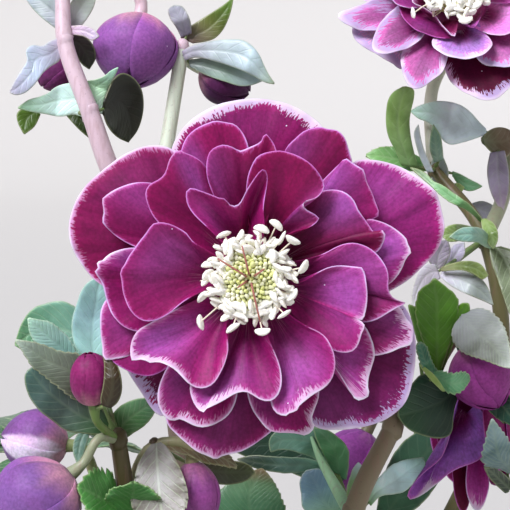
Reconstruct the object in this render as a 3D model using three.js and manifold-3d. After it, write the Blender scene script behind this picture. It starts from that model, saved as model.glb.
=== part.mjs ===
// A double-flowered hellebore growing in a clay pot, in millimetres, +Z up.
// The origin is the middle of the pot's flat base, and the open bloom faces -Y.
import * as THREE from "three";
import { mergeVertices } from "three/addons/utils/BufferGeometryUtils.js";
import Module from "manifold-3d";

const wasm = await Module();
wasm.setup();

// ---------------------------------------------------------------- driving dimensions
const GAP = 0.35; // clearance between pieces that touch in life
const POT = { height: 150, base: 62, rim: 95, rimDepth: 30, rimStep: 5, wall: 7, floor: 9, sides: 24 };
const DRAIN = { radius: 6, ring: 30, count: 3 };
const SOIL_DEPTH = 14; // how far the soil lies below the pot's lip
const SOIL_CROWN = 4; // how much the soil stands higher round the crown of the plant
const SOIL_TOP = POT.height - SOIL_DEPTH;
const ROOTING = 24; // how deep the stems stand in the soil
const STEM_SIDES = 6;
const PETAL_THICK = 0.7;
const LEAF_THICK = 0.8;

// The open bloom: its middle, and how far it looks up from level.
const BLOOM = { x: 0, y: -70, z: 355, lookUp: 6, hub: 8, hubTop: 1.2, hubBottom: -5.5 };
// Places among the flowers are given as seen from in front: right and up in the plane of the
// open bloom, and back, how far behind that plane, along the line of sight from this distance.
const SIGHT = { distance: 480, right: 1, up: 5 };

// ---------------------------------------------------------------- small tools
const V = (x, y, z) => new THREE.Vector3(x, y, z);
const rad = (degrees) => (degrees * Math.PI) / 180;
const lerp = THREE.MathUtils.lerp;
const bell = (x, width) => Math.exp(-((x / width) ** 2));
const GOLDEN = 2.39996; // the golden angle, which spreads repeats without a pattern

const LOOK = { right: V(1, 0, 0), up: V(0, Math.sin(rad(BLOOM.lookUp)), Math.cos(rad(BLOOM.lookUp))) };
LOOK.out = LOOK.right.clone().cross(LOOK.up);
const BLOOM_AT = V(BLOOM.x, BLOOM.y, BLOOM.z);
const EYE = BLOOM_AT.clone()
  .addScaledVector(LOOK.right, SIGHT.right)
  .addScaledVector(LOOK.up, SIGHT.up)
  .addScaledVector(LOOK.out, SIGHT.distance);

// The point that appears at (right, up) in the bloom's plane and lies back behind it.
function seen(right, up, back) {
  const onPlane = BLOOM_AT.clone().addScaledVector(LOOK.right, right).addScaledVector(LOOK.up, up);
  return EYE.clone().lerp(onPlane, 1 + back / SIGHT.distance);
}

// The point that lies depth further the way of out than at.
const along = (at, out, depth) => at.clone().addScaledVector(out, depth);

function solidOf(points, triangles) {
  const geometry = new THREE.BufferGeometry();
  geometry.setAttribute("position", new THREE.Float32BufferAttribute(points.flatMap((p) => p.toArray()), 3));
  geometry.setIndex(triangles);
  return solidOfGeometry(geometry);
}

function solidOfGeometry(source) {
  const geometry = source.clone();
  geometry.deleteAttribute("normal");
  geometry.deleteAttribute("uv");
  const merged = mergeVertices(geometry, 1e-3);
  const read = (flip) => {
    const triVerts = new Uint32Array(merged.index.array);
    for (let i = 0; flip && i < triVerts.length; i += 3) {
      [triVerts[i + 1], triVerts[i + 2]] = [triVerts[i + 2], triVerts[i + 1]];
    }
    const vertProperties = new Float32Array(merged.attributes.position.array);
    return new wasm.Manifold(new wasm.Mesh({ numProp: 3, vertProperties, triVerts }));
  };
  const made = read(false);
  return made.volume() < 0 ? read(true) : made;
}

const fuse = (solids) => solids.reduce((whole, piece) => whole.add(piece));

const plant = new THREE.Group();
function geometryOf(solid) {
  const { vertProperties, triVerts, numProp } = solid.getMesh();
  const positions = [];
  for (let i = 0; i < vertProperties.length; i += numProp) positions.push(...vertProperties.slice(i, i + 3));
  const geometry = new THREE.BufferGeometry();
  geometry.setAttribute("position", new THREE.Float32BufferAttribute(positions, 3));
  geometry.setIndex([...triVerts]);
  return geometry;
}

// Adds one named mesh to its holder. Only the outer skin is kept, without any loose scrap or
// any pocket closed in between crossing petals.
function addPiece(name, solid, material, holder = plant) {
  let body = solid;
  for (let pass = 0; pass < 2; pass++) {
    const bodies = solidOfGeometry(geometryOf(body)).decompose();
    body = bodies.sort((a, b) => b.volume() - a.volume())[0];
  }
  const geometry = geometryOf(body);
  geometry.computeVertexNormals();
  const mesh = new THREE.Mesh(geometry, material);
  mesh.name = name;
  holder.add(mesh);
}

// The turn and place that bring +Z to look along out, with +Y leaning towards up.
function standing(at, out, up = V(0, 0, 1)) {
  const z = out.clone().normalize();
  const x = up.clone().cross(z).normalize();
  const y = z.clone().cross(x);
  return new THREE.Matrix4().makeBasis(x, y, z).setPosition(at);
}

// A group of the plant with its own +Z looking along out, for a bloom or a bud.
function headGroup(at, out, up) {
  const group = new THREE.Group();
  standing(at, out, up).decompose(group.position, group.quaternion, group.scale);
  plant.add(group);
  return group;
}

// Closes a thin sheet whose upper points come first and lower points follow in the same order.
// upper lists the triangles of the upper face, and rim its outline, both counter-clockwise.
function sheetOf(uppers, lowers, upper, rim) {
  const n = uppers.length;
  const triangles = [...upper];
  for (let i = 0; i < upper.length; i += 3) triangles.push(n + upper[i], n + upper[i + 2], n + upper[i + 1]);
  rim.forEach((a, k) => {
    const b = rim[(k + 1) % rim.length];
    triangles.push(a, n + a, n + b, a, n + b, b);
  });
  return solidOf([...uppers, ...lowers], triangles);
}

// A petal as a closed thin sheet round surface(t, s), t across from -1 to 1 and s along from
// 0 to 1. It fans out from a narrow root, the first two points, into rows of across panels.
function petalSheet(surface, across, rows) {
  const step = 1e-3;
  const stations = [[-1, 0], [1, 0]];
  for (let j = 1; j <= rows; j++) {
    for (let i = 0; i <= across; i++) stations.push([-1 + (2 * i) / across, j / rows]);
  }
  const normalAt = (t, s) => {
    const dt = surface(Math.min(t + step, 1), s).sub(surface(Math.max(t - step, -1), s));
    const ds = surface(t, Math.min(s + step, 1)).sub(surface(t, Math.max(s - step, 0)));
    return dt.cross(ds).normalize();
  };
  const side = (half) =>
    stations.map(([t, s]) => surface(t, s).addScaledVector(normalAt(s ? t : 0, s), half * PETAL_THICK));
  const row = across + 1;
  const middle = 2 + Math.floor(across / 2);
  const upper = [0, 1, middle];
  for (let i = 2; i < 2 + across; i++) upper.push(i < middle ? 0 : 1, i + 1, i);
  for (let j = 0; j < rows - 1; j++) {
    for (let i = 0; i < across; i++) {
      const a = 2 + j * row + i;
      upper.push(a, a + 1, a + row, a + 1, a + row + 1, a + row);
    }
  }
  const rim = [0, 1];
  for (let j = 0; j < rows; j++) rim.push(2 + j * row + across);
  for (let i = across - 1; i > 0; i--) rim.push(2 + (rows - 1) * row + i);
  for (let j = rows - 1; j >= 0; j--) rim.push(2 + j * row);
  return sheetOf(side(0.5), side(-0.5), upper, rim);
}

// A closed tapered tube along a smooth line through the points.
function tube(points, radii, steps, sides = STEM_SIDES) {
  const curve = new THREE.CatmullRomCurve3(points, false, "centripetal");
  const frames = curve.computeFrenetFrames(steps, false);
  const rings = [];
  for (let j = 0; j <= steps; j++) {
    const centre = curve.getPoint(j / steps);
    const reached = (j / steps) * (radii.length - 1);
    const k = Math.min(Math.floor(reached), radii.length - 2);
    const radius = lerp(radii[k], radii[k + 1], reached - k);
    for (let i = 0; i < sides; i++) {
      const a = (2 * Math.PI * i) / sides;
      rings.push(
        centre
          .clone()
          .addScaledVector(frames.normals[j], radius * Math.cos(a))
          .addScaledVector(frames.binormals[j], radius * Math.sin(a)),
      );
    }
  }
  const triangles = [];
  for (let j = 0; j < steps; j++) {
    for (let i = 0; i < sides; i++) {
      const a = j * sides + i;
      const b = j * sides + ((i + 1) % sides);
      triangles.push(a, b, a + sides, b, b + sides, a + sides);
    }
  }
  for (let i = 1; i < sides - 1; i++) {
    const last = steps * sides;
    triangles.push(0, i + 1, i, last, last + i, last + i + 1);
  }
  return solidOf(rings, triangles);
}

// A solid of revolution about +Z from (radius, height) pairs that start and end on the axis.
function turned(profile, sides) {
  const lathe = new THREE.LatheGeometry(profile.map(([r, z]) => new THREE.Vector2(r, z)), sides);
  lathe.rotateX(Math.PI / 2);
  return solidOfGeometry(lathe);
}

// ---------------------------------------------------------------- materials
const paint = (color, roughness) => new THREE.MeshStandardMaterial({ color, roughness, metalness: 0 });
const MATERIALS = {
  petal: paint("#8c3473", 0.5),
  bud: paint("#7d3a78", 0.5),
  stamen: paint("#f1efc8", 0.6),
  style: paint("#b0607a", 0.5),
  stem: paint("#8c9068", 0.55),
  leaf: paint("#4f7a5b", 0.5),
  clay: paint("#b5673f", 0.85),
  soil: paint("#3a2a20", 0.95),
};

// ---------------------------------------------------------------- petals
// A petal fans out from its root to an oval edge. Its midline rises from root by way of belly
// to tip, each [distance from the bloom's axis, height]. Across it may cup, roll to one side
// and wave at the edge; notch cuts a heart into the tip, and corner pulls a point out of it.
const EDGE_SWEEP = rad(118); // how far round its oval the free edge of a petal runs
const ROOT_HALF = 1.4; // half width of a petal where it leaves the hub
const NOTCH_WIDTH = 0.2; // how much of the petal's edge a notch takes up
const CORNER_WIDTH = 0.17; // how much of the petal's edge a corner takes up
const ROOT_SINK = 1.6; // how far a petal's root reaches into the hub

function petalSurface(p) {
  const at = rad(p.at);
  const out = V(Math.cos(at), Math.sin(at), 0);
  const left = V(-Math.sin(at), Math.cos(at), 0);
  const half = p.wide / 2;
  const [root, belly, tip] = p.line;
  return (t, s) => {
    const phi = t * EDGE_SWEEP;
    const edge =
      1 -
      p.oval * (1 - Math.cos(phi)) -
      (p.notch ?? 0) * bell(t, NOTCH_WIDTH) +
      (p.corner ?? 0) * bell(t - (p.cornerAt ?? 0), CORNER_WIDTH);
    const u = s * edge;
    const y = Math.sin(phi) * (half * s ** 0.85 + ROOT_HALF * (1 - s));
    const bezier = (k) => (1 - u) ** 2 * root[k] + 2 * u * (1 - u) * belly[k] + u * u * tip[k];
    const across = y / half;
    const height =
      bezier(1) +
      (p.roll ?? 0) * across * s +
      (p.cup ?? 0) * across * across * s +
      p.wave * Math.sin(2 * phi + p.phase) * s ** 3;
    const radius = bezier(0) - (p.hug ?? 0) * across * across * s;
    return V(0, 0, height).addScaledVector(out, radius).addScaledVector(left, y);
  };
}

// The rings of a full double bloom, from the back: root and tip heights and the belly between.
const RINGS = {
  sepal: { root: -4, belly: [0.55, -7], tip: -4.5, oval: 0.46, cup: 1, wave: 0.3, roll: 1.6 },
  outer: { root: -2.7, belly: [0.5, -2.4], tip: -0.6, oval: 0.42, cup: 0.8, wave: 0.3, roll: 1.3 },
  middle: { root: -1.5, belly: [0.5, 1.2], tip: 2.6, oval: 0.42, cup: 0.7, wave: 0.3, roll: 1.1 },
  inner: { root: -0.5, belly: [0.5, 4.4], tip: 5.6, oval: 0.42, cup: 0.6, wave: 0.3, roll: 1.1 },
  crest: { root: 0.4, belly: [0.55, 7.4], tip: 8.8, oval: 0.42, cup: 0.6, wave: 0.3, roll: 0 },
};
const ROOT_RING = BLOOM.hub - ROOT_SINK;

function ringPetal(ring, index, extra) {
  const { root, belly, tip, ...shape } = RINGS[ring];
  const { reach, lift = 0 } = extra;
  const line = [
    [ROOT_RING, root],
    [lerp(ROOT_RING, reach, belly[0]), belly[1] + lift * 0.6],
    [reach, tip + lift],
  ];
  return { ...shape, phase: index * GOLDEN, ...extra, line };
}

// The petals of the open bloom: direction counted from the right, reach and width.
const OPEN_BLOOM = [
  ["sepal", { at: 93, reach: 38.5, wide: 37, lift: 0.5 }],
  ["sepal", { at: 151, reach: 38.5, wide: 36 }],
  ["sepal", { at: 16, reach: 42.5, wide: 36, lift: -0.4 }],
  ["sepal", { at: -43, reach: 43, wide: 37, lift: 0.2 }],
  ["sepal", { at: -101, reach: 38.5, wide: 33, corner: 0.03, lift: 0.8 }],
  ["sepal", { at: 226, reach: 35, wide: 27, lift: -1.6, roll: -1 }],
  ["outer", { at: 103, reach: 34.4, wide: 19, oval: 0.34 }],
  ["outer", { at: 63, reach: 36, wide: 20, lift: 0.3 }],
  ["outer", { at: 41, reach: 33.8, wide: 18, lift: 0.3, corner: 0.04, cornerAt: 0.33 }],
  ["outer", { at: 9, reach: 34.8, wide: 18, lift: 0.6 }],
  ["outer", { at: -20, reach: 37, wide: 16, oval: 0.34, lift: 0.4 }],
  ["outer", { at: -44, reach: 35.5, wide: 12, oval: 0.3, lift: 0.8 }],
  ["outer", { at: -75, reach: 34.5, wide: 18, oval: 0.34 }],
  ["outer", { at: 245, reach: 34, wide: 19 }],
  ["outer", { at: 217, reach: 32.5, wide: 16, lift: 0.5 }],
  ["outer", { at: 200, reach: 34.5, wide: 16, lift: 1, corner: 0.04, cornerAt: 0.33 }],
  ["outer", { at: 152, reach: 35, wide: 17, oval: 0.32 }],
  ["middle", { at: 184, reach: 31.5, wide: 18, corner: 0.07, cornerAt: -0.33 }],
  ["middle", { at: 130, reach: 29.6, wide: 18.5, corner: 0.07, cornerAt: -0.33 }],
  ["middle", { at: 95, reach: 30.5, wide: 16.5, lift: 1.2, notch: 0.12, oval: 0.34 }],
  ["middle", { at: 31, reach: 28.4, wide: 19, corner: 0.12, cornerAt: -0.45 }],
  ["middle", { at: -1, reach: 30, wide: 20, lift: 1, corner: 0.12, cornerAt: -0.33 }],
  ["inner", { at: 67, reach: 27.3, wide: 18.5 }],
  ["inner", { at: -17, reach: 26.8, wide: 20, oval: 0.36, notch: 0.04, lift: -0.6 }],
  ["inner", { at: -59, reach: 29.5, wide: 19.5, corner: 0.07, cornerAt: -0.33 }],
  ["inner", { at: -96, reach: 29.4, wide: 20.5, notch: 0.13, oval: 0.36, lift: 0.6 }],
  ["inner", { at: 230, reach: 28, wide: 20.5, notch: 0.07, oval: 0.36, lift: 1.2 }],
  ["inner", { at: 177, reach: 27.7, wide: 22.5, lift: 1.6 }],
  ["crest", { at: 44, reach: 20, wide: 12 }],
  ["crest", { at: 104, reach: 23.4, wide: 19, notch: 0.3, oval: 0.34 }],
].map(([ring, extra], i) => ringPetal(ring, i, extra));

// A second, smaller double bloom, placed by rule: each ring set between the petals behind it.
function ringsByRule(rings) {
  return rings.flatMap(([ring, count, reach, wide, start, extra], k) =>
    Array.from({ length: count }, (_, i) =>
      ringPetal(ring, i + 7 * k, {
        at: start + (360 * i) / count + 6 * Math.sin(GOLDEN * (i + k)),
        reach: reach * (1 + 0.05 * Math.sin(GOLDEN * (3 * i + k))),
        wide,
        ...extra,
      }),
    ),
  );
}
const BACK_BLOOM = ringsByRule([
  ["sepal", 5, 29, 28, 8, {}],
  ["outer", 6, 26, 17, 38, {}],
  ["middle", 5, 22, 15, 12, {}],
  ["inner", 4, 17.5, 13, 50, { notch: 0.08 }],
]);

// A nodding bloom, half open: its petals run forward and hug the middle.
function noddingPetal(i, at, reach, length, wide, extra) {
  const line = [
    [2.4, -2.6],
    [reach * 1.15, length * 0.3],
    [reach, length],
  ];
  return { at, wide, line, oval: 0.4, hug: 2.2, wave: 0.4, corner: 0.05, phase: i * GOLDEN, ...extra };
}
const NODDING_BLOOM = [
  ...Array.from({ length: 5 }, (_, i) => noddingPetal(i, 20 + 72 * i, 15, 29, 21, { roll: 1.4 })),
  ...Array.from({ length: 4 }, (_, i) => noddingPetal(i + 5, 56 + 90 * i, 8.5, 25, 12, { hug: 1 })),
];

// ---------------------------------------------------------------- blooms
function petalHub(radius, top, bottom) {
  return turned([[0, bottom], [radius * 0.55, bottom], [radius, bottom + 2.6], [radius, top - 0.8],
    [radius - 0.8, top], [0, top]], 12);
}

function petalHead(petals, hub, across, rows) {
  return fuse([hub, ...petals.map((p) => petalSheet(petalSurface(p), across, rows))]);
}

// The tuft of stamens: a dome of closed anthers, raised by a formula, with open ones leaning out.
const TUFT = { foot: 5.6, wide: 7.6, shoulder: 3.4, top: 9.6 };
const STAMEN = { root: 5.6, rootHeight: 4.6, reach: 9.8, spread: 3.4, rise: 8.6, riseSpread: 2.4 };
const STYLES = { foot: 7.2, baseRadius: 1.5, baseHeight: 3.2, rise: 5.2, reach: 6.2 };
function anthersDome(size, rows, columns) {
  const points = [];
  const triangles = [];
  const profile = (k) => {
    const a = (Math.PI / 2) * (k / (rows - 1));
    return [size * TUFT.wide * Math.cos(a) ** 0.8, lerp(TUFT.shoulder, TUFT.top, Math.sin(a)) * size];
  };
  points.push(V(0, 0, BLOOM.hubTop + GAP));
  for (let i = 0; i < columns; i++) {
    const a = (2 * Math.PI * i) / columns;
    points.push(V(Math.cos(a) * TUFT.foot * size, Math.sin(a) * TUFT.foot * size, BLOOM.hubTop + GAP));
  }
  for (let k = 0; k < rows - 1; k++) {
    const [r, z] = profile(k);
    for (let i = 0; i < columns; i++) {
      const a = (2 * Math.PI * (i + (k % 2) / 2)) / columns;
      const bump = 1 + 0.07 * ((i + k) % 2 ? 1 : -1);
      points.push(V(Math.cos(a) * r * bump, Math.sin(a) * r * bump, z * (1 + 0.04 * ((i + k) % 2 ? 1 : -1))));
    }
  }
  points.push(V(0, 0, TUFT.top * size * 0.94));
  const last = points.length - 1;
  for (let i = 0; i < columns; i++) {
    const next = (i + 1) % columns;
    triangles.push(0, 1 + next, 1 + i, last, last - columns + i, last - columns + next);
    for (let k = 0; k < rows - 1; k++) {
      const a = 1 + k * columns;
      triangles.push(a + i, a + next, a + columns + i, a + next, a + columns + next, a + columns + i);
    }
  }
  return solidOf(points, triangles);
}

// One open stamen: a thin filament and the anther across its end.
function stamen(turn, reach, rise, size) {
  const out = V(Math.cos(turn), Math.sin(turn), 0);
  const from = out.clone().multiplyScalar(STAMEN.root * size).setZ(STAMEN.rootHeight * size);
  const to = out.clone().multiplyScalar(reach * size).setZ(rise * size);
  const tip = new THREE.OctahedronGeometry(1, 0).scale(0.75, 1.7, 0.75);
  const anther = tip.applyMatrix4(standing(to, to.clone().sub(from)));
  return [tube([from, to], [0.55, 0.42], 1, 3), solidOfGeometry(anther)];
}

function stamenTuft(size, count, rows, columns) {
  const stamens = Array.from({ length: count }, (_, i) => {
    const reach = STAMEN.reach + STAMEN.spread * ((i * 0.37) % 1);
    const rise = STAMEN.rise + STAMEN.riseSpread * ((i * 0.61) % 1);
    return stamen(i * GOLDEN, reach, rise, size);
  }).flat();
  const floor = STYLES.foot * size;
  const above = 12 * size;
  const radius = STYLES.baseRadius + 0.5;
  const hollow = turned([[0, floor], [radius, floor], [radius + 0.6, above], [0, above]], 8);
  return fuse([anthersDome(size, rows, columns), ...stamens]).subtract(hollow);
}

// The carpels in the middle, each drawn out into a style that bends outwards.
function styleCluster(size, count) {
  const foot = STYLES.foot * size + GAP;
  const { baseRadius, baseHeight, rise, reach } = STYLES;
  const base = turned([[0, foot], [baseRadius - 0.3, foot], [baseRadius, foot + baseHeight / 2],
    [0, foot + baseHeight]], 6);
  const styles = Array.from({ length: count }, (_, i) => {
    const a = rad(100) + (2 * Math.PI * i) / count;
    const at = (r, z) => V(Math.cos(a) * r, Math.sin(a) * r, foot + z);
    return tube([at(0.5, 1), at(2.2, rise - 0.6), at(reach * size, rise)], [0.6, 0.5, 0.36], 3, 3);
  });
  return fuse([base, ...styles]);
}

function addBloom(name, { petals, stamens, styles }, at, out, up) {
  const group = headGroup(at, out, up);
  addPiece(`${name}_petals`, petals, MATERIALS.petal, group);
  addPiece(`${name}_stamens`, stamens, MATERIALS.stamen, group);
  addPiece(`${name}_styles`, styles, MATERIALS.style, group);
}

const BACK_AT = seen(44, 59, 62);
const BACK_OUT = along(along(LOOK.out, LOOK.up, 0.5), LOOK.right, -0.08).normalize();
const NODDING_AT = seen(48.4, -23.4, 54);
const NODDING_OUT = V(-0.2, -0.3, -0.93).normalize();
const NODDING_FOOT = -4.6; // how far behind its petals' roots the nodding bloom's stalk ends

const hub = petalHub(BLOOM.hub, BLOOM.hubTop, BLOOM.hubBottom);
const openBloom = {
  petals: petalHead(OPEN_BLOOM, hub, 6, 2),
  stamens: stamenTuft(1, 14, 4, 10),
  styles: styleCluster(1, 4),
};
addBloom("open_bloom", openBloom, BLOOM_AT, LOOK.out, LOOK.up);

const backBloom = {
  petals: petalHead(BACK_BLOOM, hub, 4, 2),
  stamens: stamenTuft(0.95, 7, 3, 8),
  styles: styleCluster(0.95, 3),
};
addBloom("back_bloom", backBloom, BACK_AT, BACK_OUT, LOOK.up);

const noddingHub = turned([[0, NODDING_FOOT], [2.2, NODDING_FOOT], [3.6, -2.8], [3.6, -1.6], [0, -1]], 8);
const noddingPetals = petalHead(NODDING_BLOOM, noddingHub, 4, 2);
addPiece("nodding_bloom_petals", noddingPetals, MATERIALS.petal, headGroup(NODDING_AT, NODDING_OUT));

// ---------------------------------------------------------------- buds
// A closed bud: an egg of five overlapping sepals, whose edges show as a twisted step.
function bud(wide, long, blunt = 0.65) {
  const [rows, columns, twist] = [6, 10, 0.9];
  const points = [V(0, 0, 0)];
  const triangles = [];
  for (let j = 1; j < rows; j++) {
    const k = j / rows;
    const r = (wide / 2) * Math.sin(Math.PI * k ** 0.9) ** blunt;
    for (let i = 0; i < columns; i++) {
      const a = (2 * Math.PI * i) / columns + twist * k;
      const step = i % 2 ? 0.93 : 1.05;
      points.push(V(Math.cos(a) * r * step, Math.sin(a) * r * step, long * k));
    }
  }
  points.push(V(0, 0, long));
  const last = points.length - 1;
  for (let i = 0; i < columns; i++) {
    const next = (i + 1) % columns;
    triangles.push(0, 1 + next, 1 + i, last, last - columns + i, last - columns + next);
    for (let j = 0; j < rows - 2; j++) {
      const a = 1 + j * columns;
      triangles.push(a + i, a + next, a + columns + i, a + next, a + columns + next, a + columns + i);
    }
  }
  return solidOf(points, triangles);
}

// Each bud: where its stalk ends, which way it points, its width and length.
const BUDS = {
  upright_bud: { at: seen(-32.6, -27.6, 5), out: V(-0.16, -0.1, 1), wide: 8.2, long: 11.5, blunt: 0.5 },
  nodding_bud_left: { at: seen(-38.6, -42, 8), out: V(-0.8, -0.25, -0.62), wide: 18, long: 20 },
  nodding_bud_far: { at: seen(-39.4, -36, 30), out: V(-0.96, 0.1, 0.12), wide: 13, long: 15.5 },
  nodding_bud_low: { at: seen(-12.6, -39.4, 20), out: V(0.14, -0.1, -1), wide: 9, long: 16 },
  nodding_bud_right: { at: seen(46.6, -14.4, 38.5), out: V(0.42, -0.35, -0.84), wide: 14, long: 16.5 },
  nodding_bud_behind: { at: seen(25, -33, 66), out: V(-0.45, -0.1, -0.85), wide: 13, long: 16 },
  nodding_bud_high: { at: seen(-23.8, 56.4, 66), out: V(-0.1, -0.4, -0.9), wide: 18, long: 19 },
  small_bud_high: { at: seen(-39, 47.5, 68), out: V(-0.55, -0.2, -0.6), wide: 9, long: 10 },
  hooded_bud_high: { at: seen(-10.5, 45, 68), out: V(0.8, -0.2, -0.4), wide: 10.5, long: 13.5 },
};
for (const [name, b] of Object.entries(BUDS)) {
  b.out.normalize();
  addPiece(name, bud(b.wide, b.long, b.blunt), MATERIALS.bud, headGroup(b.at, b.out));
}

// ---------------------------------------------------------------- leaves
// A toothed leaflet or bract from its base to its tip. The teeth are pairs of stations, a wide
// one and a narrow one just after it, and the midline arches towards face by arch.
const STATIONS = {
  fine: [[0, 0.13], [0.26, 0.74], [0.32, 0.64], [0.54, 1], [0.6, 0.84], [0.8, 0.72], [0.85, 0.5]],
  plain: [[0, 0.13], [0.34, 0.86], [0.41, 0.76], [0.68, 0.94], [0.75, 0.7]],
};
function leafletPoints({ from, to, face, wide, arch, stations }) {
  const up = face.clone().normalize();
  const middle = from.clone().lerp(to, 0.5).addScaledVector(up, 2 * arch);
  const midline = new THREE.QuadraticBezierCurve3(from, middle, to);
  return [0.5, -0.5].map((side) => {
    const points = stations.flatMap(([s, w]) => {
      const tangent = midline.getTangent(s);
      const across = up.clone().cross(tangent).normalize();
      const normal = tangent.clone().cross(across);
      const centre = midline.getPoint(s).addScaledVector(normal, side * LEAF_THICK);
      return [1, -1].map((hand) => centre.clone().addScaledVector(across, (hand * w * wide) / 2));
    });
    return [...points, to.clone().addScaledVector(up, side * LEAF_THICK)];
  });
}

// The upper face of a leaflet from its first two points, left and right, and those that follow.
function leafletFace(first, last, left, right) {
  const triangles = [];
  const rim = [right];
  const lefts = [left];
  for (let k = first; k < last; k += 2) {
    triangles.push(left, right, k, right, k + 1, k);
    [left, right] = [k, k + 1];
    rim.push(right);
    lefts.push(left);
  }
  triangles.push(left, right, last);
  return { triangles, rim: [...rim, last, ...lefts.reverse()] };
}

function bract(from, to, face, wide, arch, teeth = "plain") {
  const [uppers, lowers] = leafletPoints({ from, to, face, wide, arch, stations: STATIONS[teeth] });
  const { triangles, rim } = leafletFace(2, uppers.length - 1, 0, 1);
  return sheetOf(uppers, lowers, triangles, rim);
}

// A whole leaf blade: fingers spread round a small many-sided middle, each finger growing from
// one side of it. corners are the middle's corners in order, one more than there are fingers.
function fingeredBlade(centre, face, corners, fingers) {
  const up = face.clone().normalize();
  const [uppers, lowers] = [0.5, -0.5].map((side) =>
    [centre, ...corners].map((p) => p.clone().addScaledVector(up, side * LEAF_THICK)),
  );
  const triangles = [];
  const rim = [];
  fingers.forEach((finger, k) => {
    const [above, below] = leafletPoints({ ...finger, stations: STATIONS.plain.slice(1) });
    const first = uppers.length;
    uppers.push(...above);
    lowers.push(...below);
    const blade = leafletFace(first, uppers.length - 1, k + 2, k + 1);
    triangles.push(0, k + 1, k + 2, ...blade.triangles);
    rim.push(...blade.rim.slice(0, -1));
  });
  return sheetOf(uppers, lowers, triangles, [...rim, corners.length, 0]);
}

// Where a stem stands in the soil: straight up to just above the surface. The soil gets a hole
// for each stem that starts here.
const CROWN_TOP = SOIL_TOP + SOIL_CROWN;
const footprints = [];
function stemFoot(x, y, radius) {
  footprints.push({ x, y, radius });
  return [V(x, y, CROWN_TOP - ROOTING), V(x, y, CROWN_TOP + 4)];
}

// Side stalks end straight behind the bud or bloom that they carry.
const budStalk = (b, points, radii, steps) =>
  tube([...points, along(b.at, b.out, -3.5), along(b.at, b.out, -GAP)], radii, steps);
const bloomStalk = (at, out, depth, straight, points, radii, steps) =>
  tube([...points, along(at, out, -straight), along(at, out, depth - GAP)], radii, steps);

// ---- the stem on the right in front: the open bloom, the nodding bloom and their bracts
const forkFront = seen(30.6, -32, 34);
const lowForkFront = seen(22, -51, 34);
const archFront = seen(44, -12.6, 46);
addPiece(
  "front_stem",
  fuse([
    tube([...stemFoot(10, -9, 2.9), V(17, -20, 215), lowForkFront, forkFront], [2.9, 2.5, 2.2], 8),
    bloomStalk(BLOOM_AT, LOOK.out, BLOOM.hubBottom, 22, [forkFront, seen(24, -14, 44)],
      [2, 1.7, 1.9, 2.6], 7),
    budStalk(BUDS.nodding_bud_right, [forkFront, seen(38, -22, 42), archFront], [1.9, 1.5, 1.5, 1.7], 6),
    budStalk(BUDS.nodding_bud_behind, [forkFront, seen(28.5, -28.5, 56)], [1.4, 1.3, 1.6], 3),
    bloomStalk(NODDING_AT, NODDING_OUT, NODDING_FOOT, 8, [archFront, seen(49, -12, 56)],
      [1.4, 1.4, 1.8], 5),
    bract(seen(37, -24, 42), seen(40.2, 1, 36), V(-0.2, -1, 0.1), 15, 2, "fine"),
    bract(seen(38, -23, 42), seen(35.8, -14.5, 24), V(-0.6, -0.8, -0.3), 6, 1.5),
    bract(seen(38, -23, 42), seen(46.8, -20.8, 20), V(0.1, -0.7, 0.7), 7, 1.5),
    bract(seen(37.5, -23.5, 42), seen(30, -34, 40), V(0.2, -0.8, 0.5), 12, 1.5),
    bract(archFront, seen(57.5, -18.5, 23), V(0.1, -0.75, 0.65), 12, 4.5, "fine"),
    bract(lowForkFront, seen(9.5, -32.6, 54), V(0.1, -0.9, 0.4), 15, 2, "fine"),
    bract(lowForkFront, seen(-3.5, -39.5, 44), V(0.2, -0.8, 0.6), 9, 2),
    bract(lowForkFront, seen(29, -38, 46), V(-0.2, -0.8, 0.6), 9, 2),
  ]),
  MATERIALS.stem,
);

// ---- the stem on the left in front, with its buds
const forkLeft = seen(-28.4, -34.8, 14);
const lowForkLeft = seen(-25.8, -52, 18);
const archLeft = seen(-20.6, -36, 21);
addPiece(
  "left_stem",
  fuse([
    tube([...stemFoot(-10, -9, 2.9), V(-17, -22, 215), lowForkLeft, forkLeft], [2.9, 2.5, 2.1], 8),
    budStalk(BUDS.upright_bud, [forkLeft], [1.5, 1.3, 1.6], 2),
    budStalk(BUDS.nodding_bud_left, [forkLeft, seen(-32.6, -34.4, 9)], [1.5, 1.4, 1.9], 5),
    budStalk(BUDS.nodding_bud_far, [lowForkLeft, seen(-33, -43, 28)], [1.4, 1.3, 1.6], 4),
    budStalk(BUDS.nodding_bud_low, [lowForkLeft, seen(-24, -40.5, 20), archLeft], [1.5, 1.4, 1.5], 6),
    bract(forkLeft, seen(-33.4, 0, 24), V(0.05, -1, 0.1), 15, 1, "fine"),
    bract(forkLeft, seen(-50.5, -13, 11), V(0.1, -0.95, 0.3), 8, 1.5, "fine"),
    bract(forkLeft, seen(-48, -8.6, 22), V(0.1, -1, 0.2), 10, 2, "fine"),
    bract(forkLeft, seen(-48.2, -20.4, 5), V(-0.05, -0.8, 0.6), 12.5, 2, "fine"),
    bract(forkLeft, seen(-21, -24, 10), V(0.2, -0.9, 0.3), 10, 1.5),
    bract(forkLeft, seen(-30.4, -16, 14), V(0.5, -0.8, 0.1), 5, 0.5),
    bract(lowForkLeft, seen(-37, -45.5, 4), V(0.1, -0.7, 0.7), 7, 1.5, "fine"),
    bract(archLeft, seen(-18.4, -52.5, 10), V(-0.15, -1, 0.1), 10, 1.5),
    bract(archLeft, seen(-3, -40.5, 22), V(0.1, -0.6, 0.8), 7, 2.5),
  ]),
  MATERIALS.stem,
);

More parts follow.
